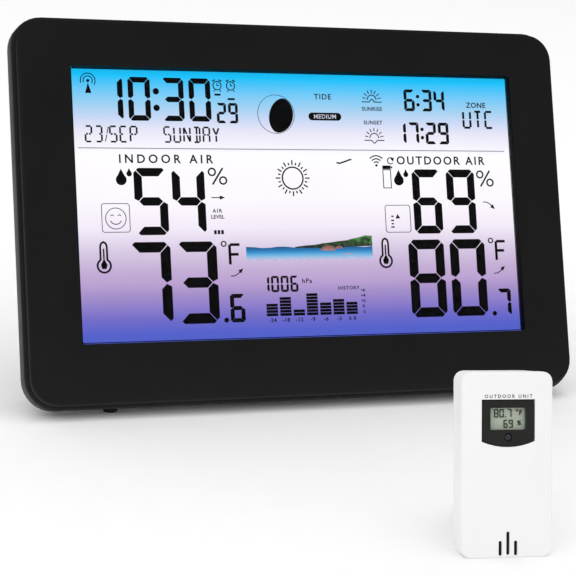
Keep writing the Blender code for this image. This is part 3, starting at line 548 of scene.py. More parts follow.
class MarkSheet:
    """Flat marks that share a thin layer: outlines, rings and strokes become closed plates."""

    def __init__(self, front: float, back: float) -> None:
        """Start an empty sheet between two depths.

        Args:
            front: The depth of its front.
            back: The depth of its back.
        """
        self.front = front
        self.back = back
        self.bm = bmesh.new()

    def outline(self, points: Outline) -> None:
        """Add one closed plate.

        Args:
            points: Its outline.
        """
        front = [self.bm.verts.new((u, self.front, v)) for u, v in points]
        back = [self.bm.verts.new((u, self.back, v)) for u, v in points]
        self.bm.faces.new(front)
        self.bm.faces.new(list(reversed(back)))
        count = len(points)
        for i in range(count):
            j = (i + 1) % count
            self.bm.faces.new((front[j], front[i], back[i], back[j]))

    def box(self, u: float, v: float, width: float, height: float) -> None:
        """Add a rectangle by its middle and size."""
        a, b = width / 2, height / 2
        self.outline([(u - a, v - b), (u + a, v - b), (u + a, v + b), (u - a, v + b)])

    def disc(self, u: float, v: float, radius: float, steps: int) -> None:
        """Add a disc by its middle."""
        turns = [i * math.tau / steps for i in range(steps)]
        self.outline([(u + radius * math.cos(turn), v + radius * math.sin(turn)) for turn in turns])

    def stroke(self, path: Outline, width: float, closed: bool = False) -> None:
        """Add a line of even width along a path.

        Args:
            path: Its points.
            width: Its width.
            closed: Whether it ends where it starts.
        """
        left: list[Point] = []
        right: list[Point] = []
        count = len(path)
        for i, (u, v) in enumerate(path):
            before = path[i - 1] if closed or i > 0 else path[i]
            after = path[(i + 1) % count] if closed or i < count - 1 else path[i]
            first, last = (path[i], after) if before == path[i] else (before, path[i])
            way_in = Vector((last[0] - first[0], last[1] - first[1])).normalized()
            first, last = (before, path[i]) if after == path[i] else (path[i], after)
            way_out = Vector((last[0] - first[0], last[1] - first[1])).normalized()
            along = (way_in + way_out).normalized()
            reach = width / 2 / max(along.dot(way_out), 0.5)
            side = Vector((-along.y, along.x)) * reach
            left.append((u + side.x, v + side.y))
            right.append((u - side.x, v - side.y))
        if closed:
            self.band(left, right)
        else:
            self.outline(left + right[::-1])

    def band(self, outer: Outline, inner: Outline) -> None:
        """Add a closed band between two loops with the same number of points.

        Args:
            outer: One loop.
            inner: The other.
        """
        front, back = self.front, self.back
        loops = []
        for points, depth in ((outer, front), (inner, front), (inner, back), (outer, back)):
            loops.append([self.bm.verts.new((u, depth, v)) for u, v in points])
        count = len(outer)
        for first, second in zip(loops, loops[1:] + loops[:1]):
            for i in range(count):
                j = (i + 1) % count
                self.bm.faces.new((first[i], first[j], second[j], second[i]))

    def ring(self, u: float, v: float, radius: float, width: float, steps: int = 28) -> None:
        """Add a circle drawn with a line.

        Args:
            u: Its middle, to the right.
            v: Its middle, upwards.
            radius: The radius of the line's middle.
            width: The line's width.
            steps: How many straight pieces it has.
        """
        turn = math.tau / steps
        spots = [(math.cos(i * turn), math.sin(i * turn)) for i in range(steps)]
        outer = [(u + (radius + width / 2) * c, v + (radius + width / 2) * s) for c, s in spots]
        inner = [(u + (radius - width / 2) * c, v + (radius - width / 2) * s) for c, s in spots]
        self.band(outer, inner)

    def words(self, text: str, u: float, v: float, height: float, spread: float = 1.0) -> None:
        """Add plain lettering with its middle at a place.

        Args:
            text: The letters.
            u: The middle, to the right.
            v: The middle, upwards.
            height: The height of a capital.
            spread: Letter spacing, as a share of the font's own.
        """
        curve = bpy.data.curves.new("lettering", "FONT")
        curve.body = text
        curve.size = height / CAPITAL_SHARE
        curve.space_character = spread
        curve.align_x = "CENTER"
        curve.offset = height * BOLDER
        curve.extrude = (self.back - self.front) / 2
        curve.resolution_u = 3
        letters = bpy.data.objects.new("lettering", curve)
        bpy.context.scene.collection.objects.link(letters)
        seen = letters.evaluated_get(bpy.context.evaluated_depsgraph_get())
        mesh = bpy.data.meshes.new_from_object(seen)
        lift = Matrix.Translation((u, (self.front + self.back) / 2, v - height / 2))
        mesh.transform(lift @ Matrix.Rotation(math.pi / 2, 4, "X"))
        self.bm.from_mesh(mesh)
        bpy.data.objects.remove(letters)
        bpy.data.meshes.remove(mesh)
        bpy.data.curves.remove(curve)

    def finish(self, name: str, stance: Stance, lift: float = 0.0) -> bpy.types.Object:
        """Close the sheet and put it in the shared frame.

        Args:
            name: The piece's name.
            stance: The unit that it belongs to.
            lift: How far up the face its own zero is.

        Returns:
            The piece.
        """
        bmesh.ops.remove_doubles(self.bm, verts=self.bm.verts, dist=MARK_WELD)
        bmesh.ops.recalc_face_normals(self.bm, faces=self.bm.faces)
        mesh = bpy.data.meshes.new(name)
        self.bm.to_mesh(mesh)
        self.bm.free()
        mesh.transform(stance.matrix @ Matrix.Translation((0, 0, lift)))
        return bpy.data.objects.new(name, mesh)


@dataclass
class SegmentDigits:
    """Seven-segment figures as a display cell draws them: mitred bars with thin gaps and cut corners."""

    height: float
    width: float
    bar: float
    pitch: float
    stop: float = 1.8
    gap: float = 0.12

    LIT = {
        "0": "abcdef",
        "1": "bc",
        "2": "abged",
        "3": "abgcd",
        "4": "fgbc",
        "5": "afgcd",
        "6": "afgedc",
        "7": "abc",
        "8": "abcdefg",
        "9": "abcdfg",
    }

    def bars(self) -> dict[str, Outline]:
        """Each segment's outline for a figure whose lower left corner is at zero.

        Returns:
            Outlines by the segment's letter.
        """
        w, h, t, g = self.width, self.height, self.bar, self.gap
        m, c = h / 2, t * 0.5
        top = [(g + c, h), (w - g - c, h), (w - g - c / 2, h - c / 2), (w - t - g / 2, h - t)]
        top += [(t + g / 2, h - t), (g + c / 2, h - c / 2)]
        upper = [(w, h - g - c), (w, m + g + c / 2), (w - t / 2, m + g), (w - t, m + t / 2 + g)]
        upper += [(w - t, h - t - g), (w - c / 2, h - g - c / 2)]
        middle = [(t / 2 + g, m), (t + g, m + t / 2), (w - t - g, m + t / 2), (w - t / 2 - g, m)]
        middle += [(w - t - g, m - t / 2), (t + g, m - t / 2)]
        return {
            "a": top,
            "b": upper,
            "c": [(u, h - v) for u, v in upper],
            "d": [(u, h - v) for u, v in top],
            "e": [(w - u, h - v) for u, v in upper],
            "f": [(w - u, v) for u, v in upper],
            "g": middle,
        }

    def write(self, sheet: MarkSheet, text: str, u: float, v: float) -> None:
        """Write a number on a sheet.

        Args:
            sheet: The sheet.
            text: Figures, with : and . as separators.
            u: The left edge of the first figure.
            v: The lower edge.
        """
        bars = self.bars()
        for sign in text:
            if sign in ":.":
                heights = (0.3, 0.68) if sign == ":" else (self.bar * 0.6 / self.height,)
                for share in heights:
                    middle_u = u + self.stop / 2 - (self.pitch - self.width) / 2
                    sheet.disc(middle_u, v + self.height * share, self.bar * 0.62, 8)
                u += self.stop
                continue
            for lit in self.LIT[sign]:
                sheet.outline([(u + a, v + b) for a, b in bars[lit]])
            u += self.pitch


@dataclass
class SegmentLetters:
    """Letters of fourteen thin segments, as small matrix cells of a display show them."""

    height: float
    width: float
    bar: float
    pitch: float
    gap: float = 0.22

    LIT = {
        "A": "abcefgG",
        "C": "adef",
        "D": "abcdil",
        "E": "adefg",
        "N": "bcefhm",
        "P": "abefgG",
        "S": "acdfgG",
        "T": "ail",
        "U": "bcdef",
        "Y": "hjl",
        "/": "jk",
        "2": "abdegG",
        "3": "abcdG",
    }

    def bars(self) -> dict[str, tuple[Point, Point]]:
        """The two ends of each segment's middle line.

        Returns:
            Pairs of ends by the segment's letter.
        """
        edge = self.bar / 2
        left, right, low, high = edge, self.width - edge, edge, self.height - edge
        mid_u, mid_v = self.width / 2, self.height / 2
        return {
            "a": ((left, high), (right, high)),
            "b": ((right, high), (right, mid_v)),
            "c": ((right, mid_v), (right, low)),
            "d": ((left, low), (right, low)),
            "e": ((left, low), (left, mid_v)),
            "f": ((left, mid_v), (left, high)),
            "g": ((left, mid_v), (mid_u, mid_v)),
            "G": ((mid_u, mid_v), (right, mid_v)),
            "h": ((left, high), (mid_u, mid_v)),
            "i": ((mid_u, high), (mid_u, mid_v)),
            "j": ((right, high), (mid_u, mid_v)),
            "k": ((left, low), (mid_u, mid_v)),
            "l": ((mid_u, low), (mid_u, mid_v)),
            "m": ((right, low), (mid_u, mid_v)),
        }

    def write(self, sheet: MarkSheet, text: str, u: float, v: float) -> None:
        """Write letters on a sheet.

        Args:
            sheet: The sheet.
            text: The letters.
            u: The left edge of the first letter.
            v: The lower edge.
        """
        bars = self.bars()
        for sign in text:
            for lit in self.LIT[sign]:
                first, last = (Vector(end) for end in bars[lit])
                trim = (last - first).normalized() * self.gap
                ends = (first + trim, last - trim)
                sheet.stroke([(u + end.x, v + end.y) for end in ends], self.bar)
            u += self.pitch


def tree_on_plain_mesh(tree: bpy.types.NodeTree, inputs: dict[str, object]) -> bpy.types.Mesh:
    """Run a Geometry Nodes tree once and keep its result as a plain mesh.

    Args:
        tree: The tree.
        inputs: Values by input name.

    Returns:
        The mesh.
    """
    holder = bpy.data.objects.new("holder", bpy.data.meshes.new("holder"))
    bpy.context.scene.collection.objects.link(holder)
    step = holder.modifiers.new("make", "NODES")
    step.node_group = tree
    for item in tree.interface.items_tree:
        if item.item_type == "SOCKET" and item.in_out == "INPUT" and item.name in inputs:
            step[item.identifier] = inputs[item.name]
    holder.update_tag()
    seen = holder.evaluated_get(bpy.context.evaluated_depsgraph_get())
    mesh = bpy.data.meshes.new_from_object(seen)
    holder.modifiers.remove(step)
    bpy.data.objects.remove(holder)
    return mesh


def new_geometry_tree(
    name: str, sizes: dict[str, float], counts: dict[str, int]
) -> tuple[bpy.types.NodeTree, bpy.types.Node, bpy.types.Node]:
    """Start a Geometry Nodes tree with named inputs.

    Args:
        name: The tree's name.
        sizes: Length inputs with their defaults, in metres.
        counts: Whole-number inputs with their defaults.

    Returns:
        The tree, its input node and its output node.
    """
    tree = bpy.data.node_groups.new(name, "GeometryNodeTree")
    for label, value in sizes.items():
        tree.interface.new_socket(label, in_out="INPUT", socket_type="NodeSocketFloat").default_value = value
    for label, value in counts.items():
        tree.interface.new_socket(label, in_out="INPUT", socket_type="NodeSocketInt").default_value = value
    tree.interface.new_socket("Material", in_out="INPUT", socket_type="NodeSocketMaterial")
    tree.interface.new_socket("Geometry", in_out="OUTPUT", socket_type="NodeSocketGeometry")
    return tree, tree.nodes.new("NodeGroupInput"), tree.nodes.new("NodeGroupOutput")


def close_tree(
    tree: bpy.types.NodeTree, given: bpy.types.Node, out: bpy.types.Node, made: bpy.types.NodeSocket
) -> None:
    """End a tree in Realize Instances and Set Material.

    Args:
        tree: The tree.
        given: Its input node.
        out: Its output node.
        made: The socket with the geometry that was made.
    """
    real = add_node(tree, "GeometryNodeRealizeInstances", {"Geometry": made})
    links = {"Geometry": real.outputs[0], "Material": given.outputs["Material"]}
    dressed = add_node(tree, "GeometryNodeSetMaterial", links)
    tree.links.new(dressed.outputs[0], out.inputs[0])


def ray_ring_tree() -> bpy.types.NodeTree:
    """Short bars that stand out from a circle, like the rays of a sun sign.

    Returns:
        The tree.
    """
    sizes = {"Radius": 5.0, "Length": 1.6, "Width": 0.4, "Thickness": 0.1}
    tree, given, out = new_geometry_tree("sun_sign_rays", sizes, {"Rays": 12})
    values = given.outputs
    links = {"Vertices": values["Rays"], "Radius": values["Radius"]}
    circle = add_node(tree, "GeometryNodeMeshCircle", links)
    links = {"X": values["Length"], "Y": values["Width"], "Z": values["Thickness"]}
    size = add_node(tree, "ShaderNodeCombineXYZ", links)
    bar = add_node(tree, "GeometryNodeMeshCube", {"Size": size.outputs[0]})
    outward = add_node(tree, "GeometryNodeInputPosition")
    turn = add_node(tree, "FunctionNodeAlignRotationToVector", {"Vector": outward.outputs[0]}, axis="X")
    links = {"Points": circle.outputs[0], "Instance": bar.outputs[0], "Rotation": turn.outputs[0]}
    placed = add_node(tree, "GeometryNodeInstanceOnPoints", links)
    close_tree(tree, given, out, placed.outputs[0])
    return tree


def band_stack_tree() -> bpy.types.NodeTree:
    """A column of flat bands, like one bar of a striped chart.

    Returns:
        The tree.
    """
    sizes = {"Width": 2.6, "Height": 0.7, "Pitch": 1.1, "Thickness": 0.1}
    tree, given, out = new_geometry_tree("chart_bands", sizes, {"Bands": 4})
    values = given.outputs
    step = add_node(tree, "ShaderNodeCombineXYZ", {"Z": values["Pitch"]})
    links = {"Count": values["Bands"], "Offset": step.outputs[0]}
    line = add_node(tree, "GeometryNodeMeshLine", links, mode="OFFSET")
    links = {"X": values["Width"], "Y": values["Thickness"], "Z": values["Height"]}
    size = add_node(tree, "ShaderNodeCombineXYZ", links)
    band = add_node(tree, "GeometryNodeMeshCube", {"Size": size.outputs[0]})
    links = {"Points": line.outputs[0], "Instance": band.outputs[0]}
    placed = add_node(tree, "GeometryNodeInstanceOnPoints", links)
    close_tree(tree, given, out, placed.outputs[0])
    return tree


# --- The display ----------------------------------------------------------------------------------

# The middle and the height of the two column titles.
TITLE_V = 15.9
TITLE_HEIGHT = 2.9


@dataclass
class Reading:
    """One column of the display: humidity above temperature, with their signs."""

    name: str
    title: str
    title_u: float
    title_spread: float
    humidity: str
    humidity_at: Point
    humidity_digits: SegmentDigits
    temperature: str
    temperature_at: Point
    temperature_digits: SegmentDigits
    tenth: str
    tenth_at: Point
    drops_at: Point
    percent_at: Point
    unit_at: Point
    humidity_trend_at: Point
    humidity_trend: Trend
    trend_at: Point
    box_at: Point
    bulb_at: Point
    comfort_face: bool

    def write(self, sheet: MarkSheet, fine: MarkSheet) -> None:
        """Write the column's dark marks and its fine lettering.

        Args:
            sheet: The sheet for the dark marks.
            fine: The sheet for the small lettering.
        """
        sheet.words(self.title, self.title_u, TITLE_V, TITLE_HEIGHT, spread=self.title_spread)
        self.humidity_digits.write(sheet, self.humidity, *self.humidity_at)
        self.temperature_digits.write(sheet, self.temperature, *self.temperature_at)
        small = SegmentDigits(height=9.9, width=5.4, bar=1.45, pitch=5.9, stop=2.7, gap=0.06)
        small.write(sheet, "." + self.tenth, *self.tenth_at)
        draw_drops(sheet, *self.drops_at)
        draw_percent(sheet, *self.percent_at)
        draw_degree_unit(sheet, *self.unit_at)
        draw_trend(sheet, *self.humidity_trend_at, self.humidity_trend)
        draw_trend(sheet, *self.trend_at, Trend.RISING)
        draw_thermometer(sheet, *self.bulb_at)
        draw_frame(fine, *self.box_at)
        if self.comfort_face:
            draw_face(fine, *self.box_at)
            fine.words("AIR", -32.6, -2.2, 1.3, spread=1.3)
            fine.words("LEVEL", -32.6, -4.3, 1.3)
            for offset in (-1.3, 0.0, 1.3):
                sheet.box(-32.4 + offset, -9.7, 0.9, 1.4)
        else:
            draw_alert(sheet, *self.box_at)


class Trend(Enum):
    """Which way a reading is going."""

    STEADY = 0
    RISING = 1
    FALLING = -1


def draw_drops(sheet: MarkSheet, u: float, v: float) -> None:
    """Two water drops: a large one with a small one at its shoulder.

    Args:
        sheet: The sheet to draw on.
        u: Its place, to the right.
        v: Its place, upwards.
    """
    for du, dv, radius in ((0.0, 0.0, 1.9), (2.9, 2.1, 0.95)):
        spots = []
        for i in range(14):
            angle = math.pi / 2 + math.radians(38) + i / 13 * math.radians(284)
            spots.append((u + du + radius * math.cos(angle), v + dv + radius * math.sin(angle)))
        sheet.outline([(u + du, v + dv + radius * 2.0)] + spots)


def draw_percent(sheet: MarkSheet, u: float, v: float) -> None:
    """A thin percent sign by its middle.

    Args:
        sheet: The sheet to draw on.
        u: Its place, to the right.
        v: Its place, upwards.
    """
    for side in (-1, 1):
        sheet.ring(u + 2.0 * side, v - 1.5 * side, 1.25, 0.55, 16)
    sheet.stroke([(u - 1.9, v - 2.9), (u + 2.0, v + 2.9)], 0.6)


def draw_trend(sheet: MarkSheet, u: float, v: float, trend: Trend) -> None:
    """A thin arrow: straight for steady, bent up or down otherwise.

    Args:
        sheet: The sheet to draw on.
        u: Its place, to the right.
        v: Its place, upwards.
        trend: Which way the reading goes.
    """
    way = trend.value
    path = [(-2.1, -0.9 * way), (-0.6, -0.8 * way), (0.6, -0.1 * way), (1.6, 0.9 * way)]
    sheet.stroke([(u + a, v + b) for a, b in path], 0.32)
    turn = Matrix.Rotation(math.radians(42 * way), 2)
    head = [turn @ Vector(p) for p in ((-0.7, -0.75), (1.1, 0.0), (-0.7, 0.75))]
    sheet.outline([(u + 1.7 + p.x, v + 1.0 * way + p.y) for p in head])


def draw_degree_unit(sheet: MarkSheet, u: float, v: float) -> None:
    """The degree ring and the F of the temperature unit, from its lower left corner.

    Args:
        sheet: The sheet to draw on.
        u: Its place, to the right.
        v: Its place, upwards.
    """
    sheet.ring(u + 1.1, v + 7.2, 0.85, 0.42, 16)
    stem = [(u + 3.2, v), (u + 3.2, v + 6.9)]
    for path in (stem, [(u + 3.4, v + 6.9), (u + 6.9, v + 6.9)], [(u + 3.4, v + 3.5), (u + 6.4, v + 3.5)]):
        sheet.stroke(path, 0.95)


def draw_frame(sheet: MarkSheet, u: float, v: float) -> None:
    """A fine square frame with cut corners, by its middle.

    Args:
        sheet: The sheet to draw on.
        u: Its place, to the right.
        v: Its place, upwards.
    """
    half, cut = 4.9, 0.6
    corners = []
    for a, b in ((-1, -1), (1, -1), (1, 1), (-1, 1)):
        pair = [(u + a * half, v + b * (half - cut)), (u + a * (half - cut), v + b * half)]
        corners += pair if a * b > 0 else pair[::-1]
    sheet.stroke(corners[::-1], 0.22, closed=True)


def draw_face(sheet: MarkSheet, u: float, v: float) -> None:
    """A round smiling sign.

    Args:
        sheet: The sheet to draw on.
        u: Its place, to the right.
        v: Its place, upwards.
    """
    sheet.ring(u, v - 0.2, 3.6, 0.26)
    for side in (-1, 1):
        sheet.stroke([(u + side * a, v + b) for a, b in ((1.9, 0.7), (1.3, 1.1), (0.7, 0.7))], 0.26)
    smile = [math.radians(a) for a in range(205, 336, 10)]
    sheet.stroke([(u + 2.1 * math.cos(a), v - 0.1 + 2.1 * math.sin(a)) for a in smile], 0.3)


def draw_alert(sheet: MarkSheet, u: float, v: float) -> None:
    """High and low limit signs: an arrow head over short bars.

    Args:
        sheet: The sheet to draw on.
        u: Its place, to the right.
        v: Its place, upwards.
    """
    sheet.outline([(u - 1.0, v + 0.1), (u + 0.8, v + 0.1), (u - 0.1, v + 1.7)])
    for offset, wide in ((0.9, 1.2), (-0.6, 1.6), (-1.8, 1.2), (-3.0, 1.8)):
        sheet.box(u - 2.2, v + offset, wide * 0.7, 0.5)


def draw_thermometer(sheet: MarkSheet, u: float, v: float) -> None:
    """A thermometer sign: a bulb with a tube and a drop inside.

    Args:
        sheet: The sheet to draw on.
        u: Its place, to the right.
        v: Its place, upwards.
    """
    around = [math.radians(a) for a in range(-150, 151, 25)]
    rim = [(u - 1.15, v + 3.6), (u - 0.8, v + 4.6), (u, v + 5.1), (u + 0.8, v + 4.6), (u + 1.15, v + 3.6)]
    turns = [math.pi - a for a in reversed(around)]
    rim += [(u + 2.35 * math.sin(turn), v - 3.0 + 2.35 * math.cos(turn)) for turn in turns]
    sheet.stroke(rim, 0.65, closed=True)
    drop = ((0.0, -0.6), (1.15, -2.7), (0.7, -4.1), (-0.7, -4.1), (-1.15, -2.7))
    sheet.outline([(u + a, v + b) for a, b in drop])
    sheet.box(u, v + 1.0, 0.5, 3.6)


def draw_mast(sheet: MarkSheet, u: float, v: float) -> None:
    """A radio mast with two arcs: the clock's time signal.

    Args:
        sheet: The sheet to draw on.
        u: Its place, to the right.
        v: Its place, upwards.
    """
    sheet.outline([(u - 1.1, v - 3.2), (u + 1.1, v - 3.2), (u, v + 0.4)])
    sheet.disc(u, v + 1.1, 0.55, 10)
    for radius in (1.6, 2.6):
        arc = [math.radians(a) for a in range(-35, 216, 18)]
        sheet.stroke([(u + radius * math.cos(a), v + 1.1 + radius * math.sin(a)) for a in arc], 0.3)


def draw_bell(sheet: MarkSheet, u: float, v: float) -> None:
    """A small alarm bell.

    Args:
        sheet: The sheet to draw on.
        u: Its place, to the right.
        v: Its place, upwards.
    """
    side = [(-1.5, -1.1), (1.5, -1.1), (1.1, -0.4), (1.0, 0.7), (0.55, 1.4), (0.0, 1.65)]
    sheet.outline([(u + a, v + b) for a, b in side + [(-0.55, 1.4), (-1.0, 0.7), (-1.1, -0.4)]])
    sheet.disc(u, v - 1.45, 0.35, 10)


def draw_alarm_clock(sheet: MarkSheet, u: float, v: float) -> None:
    """A small alarm clock: a ring with hands, two bells and feet.

    Args:
        sheet: The sheet to draw on.
        u: Its place, to the right.
        v: Its place, upwards.
    """
    sheet.ring(u, v, 1.5, 0.34, 20)
    sheet.stroke([(u, v + 0.9), (u, v), (u + 0.7, v)], 0.3)
    for side in (-1, 1):
        sheet.stroke([(u + side * 0.7, v + 2.1), (u + side * 1.7, v + 1.5)], 0.45)
        sheet.stroke([(u + side * 0.9, v - 1.6), (u + side * 1.3, v - 2.1)], 0.35)


def draw_half_sun(sheet: MarkSheet, u: float, v: float, way: int) -> None:
    """A rising or setting sun: half a ring on a line, long rays, and a small arrow in the line.

    Args:
        sheet: The sheet to draw on.
        u: Its place, to the right.
        v: Its place, upwards.
        way: 1 for rising, -1 for setting.
    """
    arc = [math.radians(a) for a in range(0, 181, 15)]
    sheet.stroke([(u + 1.75 * math.cos(a), v + 1.75 * math.sin(a)) for a in arc], 0.32)
    for angle in (12, 38, 64, 90, 116, 142, 168):
        c, s = math.cos(math.radians(angle)), math.sin(math.radians(angle))
        sheet.stroke([(u + 2.4 * c, v + 2.4 * s), (u + 3.7 * c, v + 3.7 * s)], 0.3)
    for side in (-1, 1):
        sheet.stroke([(u + side * 1.1, v - 0.8), (u + side * 3.9, v - 0.8)], 0.32)
        sheet.stroke([(u + side * 1.1, v - 0.8), (u + side * 0.1, v - 0.8 + 1.1 * way)], 0.32)


def draw_waves(sheet: MarkSheet, u: float, v: float) -> None:
    """A reception sign: a dot under three arcs.

    Args:
        sheet: The sheet to draw on.
        u: Its place, to the right.
        v: Its place, upwards.
    """
    sheet.disc(u, v - 1.9, 0.45, 10)
    for radius in (1.3, 2.4, 3.5):
        arc = [math.radians(a) for a in range(45, 136, 10)]
        sheet.stroke([(u + radius * math.cos(a), v - 1.9 + radius * math.sin(a)) for a in arc], 0.42)


def draw_little_sensor(sheet: MarkSheet, u: float, v: float) -> None:
    """The sensor's sign: an outlined case with a filled battery above it.

    Args:
        sheet: The sheet to draw on.
        u: Its place, to the right.
        v: Its place, upwards.
    """
    case = [(u - 1.5, v - 4.0), (u + 1.5, v - 4.0), (u + 1.5, v + 2.6), (u - 1.5, v + 2.6)]
    sheet.stroke(case, 0.28, closed=True)
    sheet.box(u, v + 3.5, 3.2, 1.3)
    sheet.box(u + 2.0, v + 3.5, 0.5, 0.7)


@dataclass
class Display:
    """The lit display: glowing cell, segment marks, scenery strip, chart and the lens rim."""

    width: float = 166.0
    height: float = 94.0
    middle: float = 69.0
    # Each pair is the depths of a sheet's front and back.
    marks: tuple[float, float] = (2.62, 2.76)
    pictures: tuple[float, float] = (2.79, 2.86)
    rims: tuple[float, float] = (2.55, 2.60)
    rim: float = 0.3
    glow: tuple[GlowStop, ...] = (
        GlowStop(0.0, "#5060C6"),
        GlowStop(0.032, "#5561C8"),
        GlowStop(0.08, "#706BC5"),
        GlowStop(0.122, "#8C7CC8"),
        GlowStop(0.167, "#A28EC6"),
        GlowStop(0.212, "#BAA1CF"),
        GlowStop(0.257, "#C3ADD2"),
        GlowStop(0.325, "#D5C7E0"),
        GlowStop(0.415, "#F2EAF5"),
        GlowStop(0.505, "#FBF6FA"),
        GlowStop(0.685, "#FDFCFE"),
        GlowStop(0.775, "#E6E5F4"),
        GlowStop(0.82, "#C8D8F2"),
        GlowStop(0.866, "#A0D0EF"),
        GlowStop(0.911, "#78CAF4"),
        GlowStop(0.945, "#50C4F6"),
        GlowStop(0.977, "#19C0F7"),
        GlowStop(1.0, "#13B2E6"),
    )
    bands: tuple[int, ...] = (4, 6, 2, 7, 4, 5, 4)
    # The lower and upper edges of the picture strip.
    strip: tuple[float, float] = (-20.1, -11.2)
    readings: list[Reading] = field(default_factory=list)

    def __post_init__(self) -> None:
        """Lay out the two columns of readings."""
        self.readings = [
            Reading(
                name="indoor",
                title="INDOOR AIR",
                title_u=-50.3,
                title_spread=1.5,
                humidity="54",
                humidity_at=(-62.2, -10.5),
                humidity_digits=SegmentDigits(height=23.2, width=11.8, bar=2.9, pitch=13.6, gap=0.2),
                temperature="73",
                temperature_at=(-65.0, -41.3),
                temperature_digits=SegmentDigits(height=28.4, width=14.7, bar=3.6, pitch=16.7, gap=0.24),
                tenth="6",
                tenth_at=(-32.3, -41.2),
                drops_at=(-66.6, 8.6),
                percent_at=(-31.9, 9.9),
                unit_at=(-32.0, -21.0),
                humidity_trend_at=(-32.4, 2.4),
                humidity_trend=Trend.STEADY,
                trend_at=(-26.7, -24.2),
                box_at=(-69.1, -4.5),
                bulb_at=(-73.9, -17.8),
                comfort_face=True,
            ),
            Reading(
                name="outdoor",
                title="OUTDOOR AIR",
                title_u=54.4,
                title_spread=1.3,
                humidity="69",
                humidity_at=(42.4, -10.9),
                humidity_digits=SegmentDigits(height=23.5, width=11.4, bar=2.9, pitch=13.7, gap=0.2),
                temperature="80",
                temperature_at=(39.4, -41.2),
                temperature_digits=SegmentDigits(height=28.1, width=14.1, bar=3.5, pitch=16.5, gap=0.24),
                tenth="7",
                tenth_at=(71.5, -41.4),
                drops_at=(37.2, 8.6),
                percent_at=(72.0, 9.3),
                unit_at=(71.6, -20.9),
                humidity_trend_at=(72.8, -0.3),
                humidity_trend=Trend.FALLING,
                trend_at=(75.4, -24.9),
                box_at=(36.0, -5.4),
                bulb_at=(30.3, -17.6),
                comfort_face=False,
            ),
        ]

    def place(self, u: float, v: float, depth: float) -> tuple[float, float, float]:
        """A display place in the shared frame, in metres."""
        return tuple(CONSOLE.matrix @ Vector((u, depth, self.middle + v)))

    def hand_in_sheet(self, sheet: MarkSheet, name: str, finish: Finish) -> None:
        """Finish a sheet of marks as a piece of the console."""
        hand_in(sheet.finish(name, CONSOLE, self.middle), finish, Body.CONSOLE.value)

    def build(self) -> None:
        """Make every piece of the display."""
        self.build_cell()
        self.build_rim()
        self.build_clock()
        self.build_sky_signs()
        self.build_readings()
        self.build_forecast()
        self.build_chart()
        self.build_scenery()

    def build_cell(self) -> None:
        """The glass cell glows with the colour film's fade."""
        finish = BacklitPrint(
            "display_cell_backlit",
            "#08080A",
            0.3,
            "lcd_glass",
            foot=self.place(0.0, -self.height / 2, 2.9),
            height=self.height * MM,
            up=tuple(CONSOLE.up),
            stops=self.glow,
        )
        refine("lcd_panel", finish)

    def build_rim(self) -> None:
        """The thin black print round the lens."""
        black = MarkSheet(*self.rims)
        a, b = self.width / 2 - self.rim / 2, self.height / 2 - self.rim / 2
        black.stroke([(-a, -b), (a, -b), (a, b), (-a, b)], self.rim, closed=True)
        self.hand_in_sheet(black, "lens_border_print", Stock.INK.value)

    def build_clock(self) -> None:
        """The time with its seconds, the date and the day."""
        sheet = MarkSheet(*self.marks)
        clock = SegmentDigits(height=15.2, width=7.9, bar=1.9, pitch=9.8, stop=2.3, gap=0.15)
        clock.write(sheet, "10:30", -72.6, 29.1)
        SegmentDigits(height=7.2, width=3.5, bar=0.95, pitch=4.3, gap=0.08).write(sheet, "29", -31.0, 28.6)
        draw_alarm_clock(sheet, -30.4, 41.9)
        draw_alarm_clock(sheet, -25.4, 41.9)
        sheet.box(-30.4, 38.7, 2.2, 0.7)
        sheet.box(-25.4, 37.2, 2.6, 0.7)
        draw_mast(sheet, -76.8, 41.6)
        date = (("23", -78.7, 2.7, 0.6), ("/", -71.7, 1.6, 0.3), ("SEP", -70.1, 2.9, 0.6))
        for text, u, width, bar in date:
            SegmentLetters(height=5.9, width=width, bar=bar, pitch=3.6).write(sheet, text, u, 21.4)
        SegmentLetters(height=5.8, width=2.8, bar=0.58, pitch=3.55).write(sheet, "SUNDAY", -50.8, 21.5)
        self.hand_in_sheet(sheet, "clock_marks", Stock.INK.value)

    def build_moon(self, sheet: MarkSheet, fine: MarkSheet) -> None:
        """The moon phase: a fine circle with the dark side as a tilted, pointed leaf.

        Args:
            sheet: The sheet for the dark side.
            fine: The sheet for the circle.
        """
        u, v, radius, tilt = -8.5, 32.0, 6.6, math.radians(-16)
        fine.ring(u - 0.4, v + 0.1, radius + 0.3, 0.16, 40)
        arc = [math.radians(a) for a in range(-75, 76, 10)]
        leaf = [(5.6 * math.cos(a) + 0.4, 6.5 * math.sin(a)) for a in arc]
        leaf += [(1.9 - 4.8 * math.cos(a), 6.5 * math.sin(a)) for a in reversed(arc)]
        c, s = math.cos(tilt), math.sin(tilt)
        sheet.outline([(u + a * c - b * s, v + a * s + b * c) for a, b in leaf])

